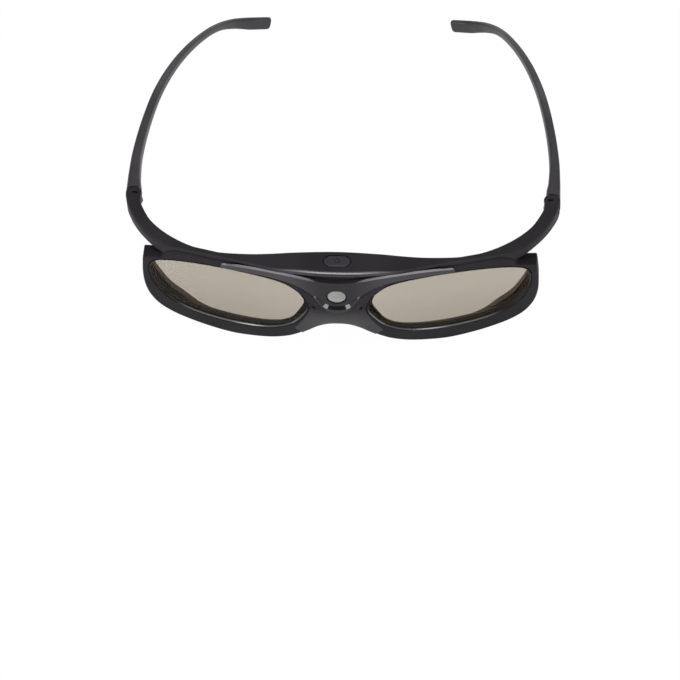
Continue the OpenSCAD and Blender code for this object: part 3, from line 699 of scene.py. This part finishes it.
# Small latch notches beside the lenses
NOTCH_TOP, NOTCH_EDGE = 28.7, 10.1
NOTCH = np.array([(0, 0), (-0.9, -0.1), (-1.6, -1.0), (-1.75, -2.4), (-0.85, -1.6), (0, -1.5)])
latch = NOTCH[1:5] + [NOTCH_EDGE, NOTCH_TOP]
latches = [(rounded(latch, 0.15), 0.05, None), (rounded(flipped(latch), 0.15), 0.05, None)]


def rim_edge(radius):
    """Rounding of the rims' outer edge, smaller at the tabs under the bar."""
    def at(p):
        tab = np.clip((p[:, 1] - CORNER_Z + TAB_DROP) / TAB_RUN, 0, 1)
        return TAB_ROUND + (radius - TAB_ROUND) * (1 - tab)
    return round_edge(at)


lip = plate(
    (rim_outline, rim_edge(1.1), None), [(lens_loop(s, BEZEL_HOLE, 0), 0.06, None) for s in SIDES] + latches,
    *on_face(0, LIP_T), support=RIM_SUPPORT)
rim_body = plate(
    (rim_outline, None, 0.15), [(lens_loop(s, SEAL_OUT + SEAT_FIT, 2), None, None) for s in SIDES],
    *on_face(LIP_T + 0.002, FRAME_T), support=RIM_SUPPORT)
piece("main_frame_shell", [lip, rim_body], matte, "frame", ["main_frame"])
bezels = [
    plate(
        (lens_loop(s, BEZEL_W, 0), 0.06, None),
        [(lens_loop(s, 0, 0), flat_edge(BEZEL_CUT, BEZEL_CUT_D), None)],
        *on_face(-BEZEL_PROUD, BEZEL_T), grid=0.9, step=0.4, support=0.02)
    for s in SIDES
]
bezel = piece("lens_bezels", bezels, bezel_black, "frame")
# The cut edge is the face that leans, and takes the bright line
second_material(bezel, bezel_line, lambda face: -0.7 < face.normal.y < -0.2)

# Outlines of the bar seen from above: setback of its front behind the face, its back as a share of its depth,
# and its arms round the corners, as places from the hinge
BAR_FRONT = [
    (0, BAR_SET + 0.4), (0.11, 0.75), (0.218, -0.3), (0.29, -0.7), (0.36, -0.6), (0.44, -0.35), (0.554, -0.2),
    (0.705, -0.2), (0.806, -0.2),
]
BAR_BACK = [(0, 1), (0.19, 0.78), (0.315, 0.52), (0.42, 0.335), (0.554, 0.18)]
CORNER_OUTER = [
    (-13.1, -26.1), (-9.5, -23.4), (-5.3, -18.6), (-2.1, -13.9), (0.6, -8.5), (2.4, -3.7), (3.2, 0),
]
CORNER_INNER = [
    (-28.6, -28.5), (-22.3, -25.8), (-16.4, -22.1), (-11.6, -18.1), (-7.6, -13.6), (-4.8, -8.6), (-3, -4.1),
    (-2.7, 0),
]
hinge = np.array([HINGE_X, HINGE_Y])


def face_points(shape, scale=1.0):
    """Points at shares of the way to the hinge, set back behind the face."""
    return [(f * HINGE_X, float(layer_y(f * HINGE_X, 0)) + s * scale) for f, s in shape]


corner_front = [hinge + p for p in CORNER_OUTER]
bar_front = catmull(both(face_points(BAR_FRONT) + corner_front), 6)
behind_trim = [(f, max(s, TRIM_SEAT + 0.05) if f * HINGE_X < TRIM_HALF else s) for f, s in BAR_FRONT]
body_front = catmull(both(face_points(behind_trim) + corner_front), 6)
bar_back = catmull(both(face_points(BAR_BACK, BAR_SET + BAR_DEPTH) + [hinge + p for p in CORNER_INNER]), 6)
ear = circle(HINGE_X, HINGE_Y, HINGE_R)[1:24]
bar_outline = np.concatenate([bar_front, ear, bar_back[::-1], flipped(ear)])


def bar_back_y(x):
    """Back of the bar in plan at x."""
    return np.interp(x, bar_back[:, 0], bar_back[:, 1])


def bar_high(x):
    """Top of the bar at x."""
    return BAR_TOP - BAR_FALL * np.minimum(np.abs(x) / HINGE_X, 1) ** 2


def bar_low(x):
    """Underside of the bar at x, lower beyond the step at the tabs."""
    f = np.clip((np.abs(x) - STEP_X) / (OUTER_X - STEP_X), 0, 1)
    low = STEP_LOW - (STEP_LOW - END_LOW) * f ** 4
    return BAR_UNDER + (low - BAR_UNDER) * smooth(STEP_X - 0.6, STEP_X + 0.6, x)


SKIN_T = 1.45


def skin_low(x):
    """Underside of the bar's top skin at x, down to the ears at its ends."""
    return BAR_TOP - SKIN_T + (EAR_LOW - BAR_TOP + SKIN_T) * smooth(BAY_HALF + 6, STEP_X - 2, x)


def button_loop(grow):
    """Outline of the button with its chamfered ends, grown all round."""
    w, d = BUTTON_W / 2 + grow, BUTTON_D / 2 + grow
    corner = np.array([(w, 0.9), (w - 1.9, d)])
    half = np.concatenate([corner, flipped(corner)])
    return np.concatenate([half, -half]) + [0, BUTTON_Y]


# Top skin of the bar with a soft front edge, a web under it and the lower ears of the hinges
def front_share(loop):
    """1 along the middle of the bar's front, 0 at its back and its arms."""
    middle = (np.interp(loop[:, 0], bar_front[:, 0], bar_front[:, 1]) + bar_back_y(loop[:, 0])) / 2
    return (loop[:, 1] < middle) * (1 - smooth(12, 24, loop[:, 0]))


def arm_share(loop):
    """1 along the outer side of the arms, 0 elsewhere."""
    outer = np.concatenate([bar_front[:, 1], bar_front[-1:, 1]])
    across = np.concatenate([bar_front[:, 0], bar_front[-1:, 0] + 1])
    near = np.abs(loop[:, 1] - np.interp(loop[:, 0], across, outer)) < 0.8
    return near * smooth(62, 72, loop[:, 0])


def slot_loop(x, y, half, r):
    """Short slot across an arm."""
    end = circle(0, 0, r, 24)
    return np.concatenate([end[18:] + [half, 0], end[:7] + [half, 0], end[6:19] - [half, 0]]) + [x, y]


SLOT_IN, SLOT_HALF, SLOT_R = 0.5, 0.6, 0.6
skin_holes = [(rounded(button_loop(BUTTON_GAP + 0.12), 0.3), 0.1, None)]
skin_holes += [(slot_loop(s * (HINGE_X - SLOT_IN), HINGE_Y, SLOT_HALF, SLOT_R), 0.05, None) for s in SIDES]
SKIN_R, FRONT_MORE, FRONT_DROP, ARM_MORE, ARM_DROP = 0.55, 1.65, 0.75, 0.9, 1.2
skin_edge = round_edge(
    lambda p: SKIN_R + FRONT_MORE * front_share(p) + ARM_MORE * arm_share(p),
    lambda p: SKIN_R + FRONT_DROP * front_share(p) + ARM_DROP * arm_share(p))
skin = plate((bar_outline, skin_edge, None), skin_holes, *between(bar_high, skin_low), step=0.5)

cut = HINGE_R + HINGE_GAP


def from_hinge(p):
    """Distance in plan from the nearer hinge."""
    return np.hypot(np.abs(p[:, 0]) - HINGE_X, p[:, 1] - HINGE_Y)


def angle_at_hinge(p):
    """Direction of a point in plan, seen from the left hinge."""
    return math.atan2(p[1] - HINGE_Y, p[0] - HINGE_X)


web_front = body_front[from_hinge(body_front) > cut]
wall_room = (np.abs(bar_back[:, 0]) < BAY_HALF) * (WALL + SEAT_FIT)
web_back = bar_back - np.stack([0 * wall_room, wall_room], 1)
web_back = web_back[from_hinge(web_back) > cut]
turns = np.linspace(angle_at_hinge(web_front[-1]), angle_at_hinge(web_back[-1]), 16)[1:-1]
hollow = np.array([hinge + cut * np.array([math.cos(a), math.sin(a)]) for a in turns])
web_outline = np.concatenate([web_front, hollow, web_back[::-1], flipped(hollow)])
web = plate((web_outline, None, None), [], *between(skin_low, lambda x: np.maximum(bar_low(x), KNUCKLE_TOP)))

EAR_SHARE = 0.84
ear_from = STEP_X + EAR_SHARE * (OUTER_X - STEP_X)
ear_front = body_front[body_front[:, 0] > ear_from]
ear_back = bar_back[bar_back[:, 0] > ear_from]
ear_outline = np.concatenate([ear_front, ear, ear_back[::-1]])
low_ear = plate(
    (ear_outline, None, round_edge(0.1, 0.1)), [], *between(KNUCKLE_TOP, bar_low), step=0.4, support=0.05)
bar = piece("top_bar_shell", [skin, web, low_ear, other_side(low_ear)], bar_black, "frame")
EDGE_HALF, EDGE_REACH, LEVEL_NORMAL = 34, 2.3, 0.99


def on_front_edge(face):
    """True for the leaning faces along the front of the bar."""
    x, y = face.center.x / MM, face.center.y / MM + MIDDLE_Y
    near = y < np.interp(x, bar_front[:, 0], bar_front[:, 1]) + EDGE_REACH
    return abs(x) < EDGE_HALF and near and face.normal.z < LEVEL_NORMAL


second_material(bar, bar_edge, on_front_edge)

# Rear cover: rims behind the lenses, a floor and a back wall for the bar's hollow, and a pod for the battery
screw_places = [(EYE_IN * 0.82, NOSE_H + 2.9), (EYE_IN + EYE_SPAN * 0.952, LENS_RISE + LENS_H * 0.139)]
cover_outline = rounded(over_top([
    (RIM_HALF - 1.2, CORNER_Z - 0.4), (STEP_X + 2, CORNER_Z + CORNER_RISE - 0.4),
    (STEP_X - 0.8, COVER_TOP - 0.8),
]), RIM_CORNER)

COVER_NARROW, FLARE_LEAST, FLARE_OUT, FLARE_IN, SCREW_HOLE_R = 1.8, 0.15, 2.5, 2.2, 1.3
cover_ring = lens_ring(SEAL_OUT + 0.03)
cover_hole = narrowed(cover_ring, COVER_NARROW * outer_share(cover_ring))


def low_share(p):
    """1 along the lower side of a lens opening, 0 at its top and at its outer corner, seen from the front."""
    own = np.stack([(np.abs(p[:, 0]) - EYE_X) / math.cos(WRAP), p[:, 1] - EYE_Z], 1)
    return np.clip(-own[:, 1] / 8, 0, 1) * (1 - rise(8, 20, own[:, 0]))


flare = flat_edge(
    lambda p: FLARE_LEAST + FLARE_OUT * low_share(p), lambda p: FLARE_LEAST + FLARE_IN * low_share(p))
cover_holes = [(from_front(cover_hole, s, (FRAME_T + BACK_D) / 2), 0.06, flare) for s in SIDES]
cover_holes += [(circle(s * x, z, SCREW_HOLE_R, 32), None, 0.15) for s in SIDES for x, z in screw_places]
cover = plate(
    (cover_outline, None, rim_edge(1.0)), cover_holes, *on_face(FRAME_T, BACK_D), support=RIM_SUPPORT)

in_bay = BAY_HALF - SEAT_FIT
band_low, band_top = COVER_TOP - 1, BAY_TOP - SEAT_FIT
notch_low = BOARD_TOP - SEAT_FIT
notch_in, notch_out = SOCKET_X - SEAT_FIT, SOCKET_X + SOCKET_W + SEAT_FIT
band_outline = np.array([
    (-in_bay, band_low), (in_bay, band_low), (in_bay, band_top), (notch_out, band_top),
    (notch_out, notch_low), (notch_in, notch_low), (notch_in, band_top), (-in_bay, band_top),
])
led_z = BOARD_TOP + LED_R + 0.15
band = plate(
    (rounded(band_outline, 0.3), 0.15, None), [(circle(LED_X, led_z, LED_R + SEAT_FIT, 32), 0.1, None)],
    lambda x, z, w: np.stack([x, bar_back_y(x) - w, z], 1),
    lambda x, z, w: np.stack([x, bar_back_y(x) - WALL + w, z], 1), step=0.35, support=0.08)
floor_x = np.linspace(-in_bay, in_bay, 80)
floor_front = np.stack([floor_x, layer_y(floor_x, FRAME_T + 1)], 1)
floor_back = np.stack([floor_x, bar_back_y(floor_x) - 0.3], 1)
floor_outline = np.concatenate([floor_front, floor_back[::-1]])
bay_floor = plate((floor_outline, None, None), [], *between(COVER_TOP, COVER_TOP - 1))
POD_HALF, POD_LOW, POD_BACK = 9.3, 28.3, BAR_SET + BAR_DEPTH - WALL
pod_top = COVER_TOP - 0.5
pod_outline = np.array([(-POD_HALF, POD_LOW), (POD_HALF, POD_LOW), (POD_HALF, pod_top), (-POD_HALF, pod_top)])
pod = plate(
    (rounded(pod_outline, 2.0), None, 1.2), [],
    lambda x, z, w: np.stack([x, np.full_like(x, FRAME_T + 1), z], 1),
    lambda x, z, w: np.stack([x, np.full_like(x, POD_BACK) - w, z], 1))
rear = piece("rear_cover_shell", [cover, band, bay_floor, pod], matte, "frame", ["rear_cover"])
# What shows of it through the lenses has the colour of the seals
corners = np.array([(abs(v.co.x) / MM, v.co.z / MM) for v in rear.data.vertices])
in_opening = inside(corners, lens_loop(1, SEAL_OUT + 0.1, FRAME_T))
second_material(rear, seal, lambda face: face.normal.y < 0.5 and any(in_opening[i] for i in face.vertices))

# Lenses: two films and a cell on each side, with a seal that lines the opening round them and a ledge behind
LAYERS = (
    ("front_polariser", film, 0.61, 0.79), ("shutter_cell", glass, 0.81, 2.29),
    ("rear_polariser", film, 2.31, 2.49),
)
SEAL_NOSE, LEDGE_D = 1.9, 2.62
wide = lens_ring(SEAL_IN)
ledge_hole = narrowed(wide, SEAL_NOSE * nose_share(wide))
for side, turn in TURNS:
    for layer, material, d1, d2 in LAYERS:
        pane = plate((lens_ring(0), None, None), [], *in_lens(d1, d2), grid=3.0)
        made = piece(f"{side}_{layer}_pane", [turn(pane)], material, "frame", [f"{side}_{layer}"])
        second_material(made, pane_edge, lambda face: abs(face.normal.y) < 0.5)
    lining = plate(
        (lens_ring(SEAL_OUT), None, None), [(wide, 0.1, None)], *in_lens(BEZEL_T + 0.02, LEDGE_D),
        grid=0.9, support=0.02)
    ledge = plate(
        (lens_ring(SEAL_OUT - 0.01), None, 0.1), [(ledge_hole, 0.1, 0.1)], *in_lens(LEDGE_D + 0.01, SEAL_D),
        grid=0.9, support=0.02)
    made = piece(
        f"{side}_lens_seal", [turn(lining), turn(ledge)], seal, "frame",
        [f"{side}_lens_gasket"])
    second_material(made, pane_edge, lambda face: face.index < len(lining[1]))

# Winged trim with bevelled edges, and the raised V under the sensor
TRIM_UPPER = [(0, 4.3), (0.12, 4.55), (0.22, 5.05), (0.36, 5.2), (0.64, 4.8), (0.82, 4.1), (0.985, 3.1)]
TRIM_LOWER = [
    (0, -12.0), (0.045, -11.8), (0.093, -10.9), (0.134, -8.7), (0.168, -6.4), (0.21, -4.2), (0.275, -2.0),
    (0.355, -0.2), (0.48, 1), (0.66, 1.1), (0.84, 0.8), (1, 0.5),
]
trim_low = catmull(both([(f * TRIM_HALF, LENS_TOP + z) for f, z in TRIM_LOWER]), 8)
trim_high = catmull(both([(f * TRIM_HALF, LENS_TOP + z) for f, z in TRIM_UPPER]), 8)


def wing_share(loop):
    """0 over the nose, 1 along the wings."""
    return 0.03 + 0.97 * smooth(7, 11, loop[:, 0]) * (1 - 0.8 * smooth(41.5, 43.5, loop[:, 0]))


TRIM_CUT, TRIM_CUT_D, SENSOR_GAP = 0.4, 0.8, 0.4
trim_edge = flat_edge(lambda p: TRIM_CUT * wing_share(p), lambda p: TRIM_CUT_D * wing_share(p))
trim = plate(
    (rounded(np.concatenate([trim_low, trim_high[::-1]]), 0.7), trim_edge, None),
    [(circle(0, SENSOR_Z, SENSOR_R + SENSOR_GAP), 0.1, None)],
    *on_face(-TRIM_PROUD, TRIM_SEAT), grid=1.5, step=0.5, support=0.1)
piece("centre_trim_shell", [trim], gloss, "frame", ["centre_trim"])

V_LINE = [(0, 27.1), (2, 27.3), (4.1, 28.2), (5.9, 30.4), (7.4, 32.7), (8.8, 34.4)]
V_WIDTH, V_TAPER, V_END = 3.2, 1.5, 0.95
v_low = catmull(both(V_LINE), 10)
v_wide = V_WIDTH - V_TAPER * smooth(4, 8.5, v_low[:, 0])
v_high = (v_low + np.stack([0 * v_wide, v_wide], 1))[np.abs(v_low[:, 0]) < V_END * v_low[-1, 0]]


def upper_share(p):
    """1 along the upper edge of the V, 0 along its lower edge."""
    return (p[:, 1] > np.interp(p[:, 0], v_low[:, 0], v_low[:, 1] + v_wide / 2)).astype(float)


def lip_front(x, z, w):
    """Front of the V, which runs out into the trim along its arms."""
    return tilted(x, layer_y(x, -TRIM_PROUD - TRIM_LIP * (1 - 0.85 * smooth(4, 9, x)) + w), z)


V_CUT, V_CUT_D = 1.05, 0.75


def v_edge(p, upper):
    """Cut of the V's edge, wider by a length along its upper side and nearly gone along its arms."""
    return 0.1 + (0.15 + upper * upper_share(p)) * (1 - 0.93 * smooth(4.5, 7.8, p[:, 0]))


slope = flat_edge(lambda p: v_edge(p, V_CUT), lambda p: v_edge(p, V_CUT_D))
v_lip = plate(
    (rounded(np.concatenate([v_low, v_high[::-1]]), 0.3), slope, None), [], lip_front, on_face(0, 0)[1],
    grid=0.8, step=0.25, support=0.02)
piece("sensor_lip_bead", [v_lip], deep_gloss, "frame")

# Satin cover over the nose bridge, with a small notch beside each lens
BRIDGE_SIDE = [(-0.012, 0.72), (-0.014, 0.66), (0.015, 0.47), (0.05, 0.32), (0.085, 0.21), (0.1, 0.15)]
BRIDGE_REACH = 14.0
bridge_side = catmull([(share_x(f), LENS_RISE + z * LENS_H) for f, z in BRIDGE_SIDE], 8)
above = bridge_side[bridge_side[:, 1] > NOTCH_TOP]
below = bridge_side[bridge_side[:, 1] < NOTCH_TOP + NOTCH[-1, 1]]
notch = NOTCH + [above[-1, 0], NOTCH_TOP]
ARM_REACH, GROOVE_W = 18.0, 1.3
beside = lens_loop(1, BEZEL_HOLE + 0.1, 0)
beside = beside[(beside[:, 1] > above[0, 1]) & (beside[:, 0] < ARM_REACH)]
beside = beside[np.argsort(-beside[:, 1])]
bridge_side = np.concatenate([beside, above, notch, below])
bridge_top = trim_low[np.abs(trim_low[:, 0]) < ARM_REACH]
groove = smooth(5, 7, bridge_top[:, 0]) * (1 - smooth(12, ARM_REACH, bridge_top[:, 0]))
bridge_top = bridge_top + np.stack([0 * groove, 0.4 - GROOVE_W * groove], 1)
bridge_low = arch[np.abs(arch[:, 0]) < BRIDGE_REACH]
bridge_outline = np.concatenate([bridge_low, bridge_side[::-1], bridge_top[::-1], flipped(bridge_side[::-1])])


def arch_share(p):
    """1 along the arch over the nose, 0 elsewhere."""
    return (np.abs(p[:, 1] - np.interp(p[:, 0], arch[:, 0], arch[:, 1])) < 0.15).astype(float)


BRIDGE_PROUD, COVER_R, ARCH_MORE, ARCH_DROP = 0.15, 0.15, 0.9, 0.55
bridge_edge = round_edge(
    lambda p: COVER_R + ARCH_MORE * arch_share(p), lambda p: COVER_R + ARCH_DROP * arch_share(p))
bridge = plate(
    (rounded(bridge_outline, 0.3), bridge_edge, None), [],
    *on_face(-BRIDGE_PROUD, TRIM_SEAT), grid=1.2, step=0.3, support=0.05)
piece("bridge_cover_shell", [bridge], satin, "frame", ["bridge_cover"])


# Sensor window with a low dome
DOME_PROUD, DOME_FALL = 0.2, 0.5


def dome(x, z, w):
    """Front of the window, which falls back from its middle."""
    flat = on_face(-TRIM_PROUD - DOME_PROUD, 0)[0](x, z, w)
    flat[:, 1] += DOME_FALL * (x ** 2 + (z - SENSOR_Z) ** 2) / SENSOR_R ** 2
    return flat


sensor = plate(
    (circle(0, SENSOR_Z, SENSOR_R), 0.15, None), [], dome, on_face(0, TRIM_SEAT)[1],
    grid=0.6, step=0.3, support=0.05)
piece("sensor_window_dome", [sensor], window, "frame", ["sensor_window"])


# Power button with a crowned top and a plain ring on it
CROWN_FALL, RING_UP, RING_DEEP, RING_R, RING_HOLE_R = 0.15, 0.02, 0.1, 1.1, 0.75


def crown(lift):
    """Top of the button, lifted by a length, for outlines seen from above."""
    def top(x, y, w):
        fall = (x / (BUTTON_W / 2)) ** 2 + ((y - BUTTON_Y) / (BUTTON_D / 2)) ** 2
        return np.stack([x, y, BAR_TOP + BUTTON_PROUD - RING_UP + lift - CROWN_FALL * fall - w], 1)
    return top


button = plate(
    (rounded(button_loop(0), 0.3), flat_edge(0.3, 0.14), None), [], crown(0),
    lambda x, y, w: np.stack([x, y, np.full_like(x, BAY_TOP - 0.5) + w], 1),
    grid=0.8, step=0.3, support=0.1)
flange = plate((button_loop(0.6), None, None), [], *between(BAY_TOP - SEAT_FIT, BAY_TOP - SEAT_FIT - 0.8))
piece("power_button_key", [button, flange], key_black, "key", ["power_button"])
ring = plate(
    (circle(0, BUTTON_Y, RING_R), 0.01, None), [(circle(0, BUTTON_Y, RING_HOLE_R), 0.01, None)],
    crown(RING_UP), crown(-RING_DEEP), grid=0.3, step=0.15, support=0.02)
piece("power_button_ring", [ring], mark_black, "key")

# Nose pad: a soft arch behind the rear cover
PAD_UP, PAD_T, PAD_LEN, PAD_REACH = 0.15, 1.8, 4.5, 12.5
pad_low = arch[np.abs(arch[:, 0]) < PAD_REACH - 1] + [0, PAD_UP]
pad_high = arch[np.abs(arch[:, 0]) < PAD_REACH] + [0, PAD_UP + PAD_T]
pad_outline = rounded(np.concatenate([pad_low, pad_high[::-1]]), 0.6)
pad = plate(
    (pad_outline, 0.15, 0.3), [], *on_face(BACK_D, BACK_D + PAD_LEN), grid=0.8, step=0.4, support=0.05)
nose_pad = piece("nose_pad_arch", [pad], soft, "frame", ["nose_pad"])

# Temples: rounded sections along the line of the outer top edge. Each station has shares of the length, of
# the way in and of the way down, then a thickness and a height
ROOT_T = 2 * HINGE_R - 0.8
TEMPLE_SHAPE = [
    (0.005, 0, 0, ROOT_T, BAR_END_H), (0.04, 0, 0, ROOT_T, BAR_END_H - 0.1), (0.078, 0, 0, 4.6, 7),
    (0.162, 0.009, 0, 3.8, 6), (0.278, 0.049, 0, 3.4, 5), (0.402, 0.117, 0.012, 3.2, 4.2),
    (0.533, 0.207, 0.114, 2.9, 3.6), (0.663, 0.315, 0.277, 2.6, 3.2), (0.787, 0.436, 0.48, 2.4, 3),
    (0.874, 0.538, 0.657, 2.3, 3.2), (0.9325, 0.643, 0.792, 2.3, 4.2), (0.965, 0.74, 0.878, 2.4, 5),
    (0.986, 0.84, 0.937, 2.4, 5.9), (1, 1, 0.975, 2.4, 5.9),
]
STATION_STEPS, STATION_GAP, RUN_REACH = 12, 0.1, 0.08
SECTION, SQUARENESS = 40, 0.5
TIP_ROUND, TIP_LIFT = 0.35, 0.2
TIP_STEPS = (0.0, 0.3, 0.5, 0.68, 0.82, 0.92, 0.98, 0.998)
temple_line = catmull(TEMPLE_SHAPE, STATION_STEPS)
edge_line = np.stack([
    OUTER_X - temple_line[:, 1] * TEMPLE_IN,
    HINGE_Y + temple_line[:, 0] * (TEMPLE_LEN - TIP_SLACK),
    BAR_END_TOP - temple_line[:, 2] * (BAR_END_TOP - TIP_TOP),
], 1)


def along(table, s):
    """Row of a table at a station."""
    at = np.arange(len(table)) / STATION_STEPS
    return np.array([np.interp(s, at, table[:, k]) for k in range(table.shape[1])])


def temple_ring(s, shrink=1.0):
    """Ring of one section, shrunk towards its middle."""
    run = along(edge_line, s + RUN_REACH) - along(edge_line, s - RUN_REACH)
    run /= np.linalg.norm(run)
    inward = np.cross([0, 0, 1], run)
    inward /= np.linalg.norm(inward)
    up = np.cross(run, inward)
    t, h = along(temple_line, s)[3:]
    middle = along(edge_line, s) + inward * t / 2 - up * (h / 2 - (1 - shrink) * TIP_LIFT * h)
    angle = np.linspace(0, 2 * math.pi, SECTION, endpoint=False)
    across = np.sign(np.cos(angle)) * np.abs(np.cos(angle)) ** SQUARENESS * shrink * t / 2
    above = np.sign(np.sin(angle)) * np.abs(np.sin(angle)) ** SQUARENESS * shrink * h / 2
    ring = middle + np.outer(across, inward) + np.outer(above, up)
    ring[:, 2] = np.maximum(ring[:, 2], 0)
    return ring


ROOT_GAP, ROOT_RUN = 0.12, 0.5
root_cut = HINGE_R + ROOT_GAP
front_ring = temple_ring(0)
off = np.clip((front_ring[:, 0] - HINGE_X) / root_cut, -0.999, 0.999)
front_ring[:, 1] = HINGE_Y + root_cut * np.sqrt(1 - off ** 2)
last = len(TEMPLE_SHAPE) - 1
stations = np.arange(0, last - TIP_ROUND, STATION_GAP)
behind_root = [s for s in stations if along(edge_line, s)[1] > HINGE_Y + root_cut + ROOT_RUN]
rings = [front_ring] + [temple_ring(s) for s in behind_root]
for e in TIP_STEPS:
    rings.append(temple_ring(last - TIP_ROUND * (1 - e), (1 - e ** 3) ** (1 / 3)))
arm = sweep(rings)
TONGUE_OUT, TONGUE_IN, TONGUE_LEN = 2.9, 2.2, 4.2
tongue_outline = np.concatenate([
    [(HINGE_X + TONGUE_OUT, HINGE_Y + TONGUE_LEN), (HINGE_X - TONGUE_IN, HINGE_Y + TONGUE_LEN)],
    circle(HINGE_X, HINGE_Y, HINGE_R - 0.2, 48)[24:],
])
tongue = plate(
    (tongue_outline, 0.15, 0.15), [(circle(HINGE_X, HINGE_Y, PIN_R + 0.05, 24), None, None)],
    *between(TONGUE_Z + TONGUE_H, TONGUE_Z), step=0.4, support=0.08)
for side, turn in TURNS:
    piece(
        f"{side}_temple_arm", [turn(arm), turn(tongue)], arm_black, f"{side}_arm",
        [f"{side}_temple"])

# Solids that stay as they are and get a material
# The hinge pins take the near-black steel, a painted shade for their recesses
CARRIED = {
    "photodiode": chip, "sensor_board": board, "sensor_flex": tail, "main_board": board, "driver_chip": chip,
    "tact_switch": chip, "switch_plunger": steel, "battery": foil, "battery_leads": lead,
    "charging_socket": steel, "status_led": window, "cover_screws": steel, "left_hinge_pin": pin_steel_painted_shade,
    "right_hinge_pin": pin_steel_painted_shade, "left_lens_flex": tail, "right_lens_flex": tail,
}
for name, material in CARRIED.items():
    mesh = frame["nodes"][name].data
    mesh.materials.clear()
    mesh.materials.append(material)

# Pale floor, white where it is seen straight, in gloss or through glass; then light and camera
FLOOR_SIZE, FLOOR_Z, FLOOR_SHADE, FLOOR_ROUGH, FLOOR_GLOW = 8, -0.0003, (0.85, 0.85, 0.85, 1), 0.9, 0.985
WORLD_STRENGTH = 0.3
bpy.ops.mesh.primitive_plane_add(size=FLOOR_SIZE, location=(0, 0, FLOOR_Z))
floor = bpy.context.object
floor.name = "floor"
paper, tree, shader, _ = new_material("white_paper")
shader.inputs["Base Color"].default_value = FLOOR_SHADE
shader.inputs["Roughness"].default_value = FLOOR_ROUGH
rays = node(tree, "ShaderNodeLightPath").outputs
straight = node(
    tree, "ShaderNodeMath", rays["Is Camera Ray"], rays["Is Glossy Ray"], operation="MAXIMUM").outputs[0]
seen = node(tree, "ShaderNodeMath", straight, rays["Is Transmission Ray"], operation="MAXIMUM").outputs[0]
share = node(tree, "ShaderNodeMath", seen, FLOOR_GLOW, operation="MULTIPLY").outputs[0]
shine = node(tree, "ShaderNodeEmission").outputs["Emission"]
mix = node(tree, "ShaderNodeMixShader", share, shader.outputs["BSDF"], shine)
feed(tree, tree.nodes["Material Output"].inputs["Surface"], mix.outputs["Shader"])
floor.data.materials.append(paper)

world = bpy.data.worlds.new("studio")
world.use_nodes = True
sky = world.node_tree.nodes["Background"]
sky.inputs["Color"].default_value = (1, 1, 1, 1)
sky.inputs["Strength"].default_value = WORLD_STRENGTH
bpy.context.scene.world = world


def soft_box(name, place, aim, size, watts):
    """Flat lamp that faces a point."""
    lamp = bpy.data.lights.new(name, "AREA")
    lamp.shape = "RECTANGLE"
    lamp.size, lamp.size_y = size
    lamp.energy = watts
    obj = bpy.data.objects.new(name, lamp)
    obj.location = place
    obj.rotation_euler = (Vector(aim) - Vector(place)).to_track_quat("-Z", "Y").to_euler()
    bpy.context.scene.collection.objects.link(obj)


AIM = (0, -0.06, 0.03)
soft_box("overhead_light", (-0.06, -0.26, 0.93), AIM, (1.2, 0.38), 9.5)
soft_box("left_light", (-0.55, -0.66, 0.18), AIM, (0.6, 0.25), 4.2)
soft_box("right_light", (0.48, -0.72, 0.22), AIM, (0.6, 0.25), 4.2)
soft_box("rear_light", (0.10, 0.80, 0.45), AIM, (0.7, 0.25), 1.3)

AZIMUTH, ELEVATION, ROLL = math.radians(5.048), math.radians(51.564), math.radians(-2.648)
CAMERA_AT = (49.447, -554.442, 710.32)
FOCAL_PIXELS, IMAGE_PIXELS, SENSOR_MM = 2358.0, 680, 36.0
right = Vector((math.cos(AZIMUTH), math.sin(AZIMUTH), 0))
back = Vector((
    math.sin(AZIMUTH) * math.cos(ELEVATION), -math.cos(AZIMUTH) * math.cos(ELEVATION), math.sin(ELEVATION)))
up = back.cross(right)
right_rolled = right * math.cos(ROLL) + up * math.sin(ROLL)
up_rolled = up * math.cos(ROLL) - right * math.sin(ROLL)
camera_data = bpy.data.cameras.new("camera")
camera_data.sensor_width = SENSOR_MM
camera_data.lens = FOCAL_PIXELS * SENSOR_MM / IMAGE_PIXELS
camera_data.clip_start = 0.01
camera = bpy.data.objects.new("camera", camera_data)
camera_place = Matrix((right_rolled, up_rolled, back)).transposed().to_4x4()
camera_place.translation = (Vector(CAMERA_AT) - Vector((0, MIDDLE_Y, 0))) * MM
camera.matrix_world = camera_place
bpy.context.scene.collection.objects.link(camera)
bpy.context.scene.camera = camera
bpy.context.scene.view_settings.view_transform = "Standard"
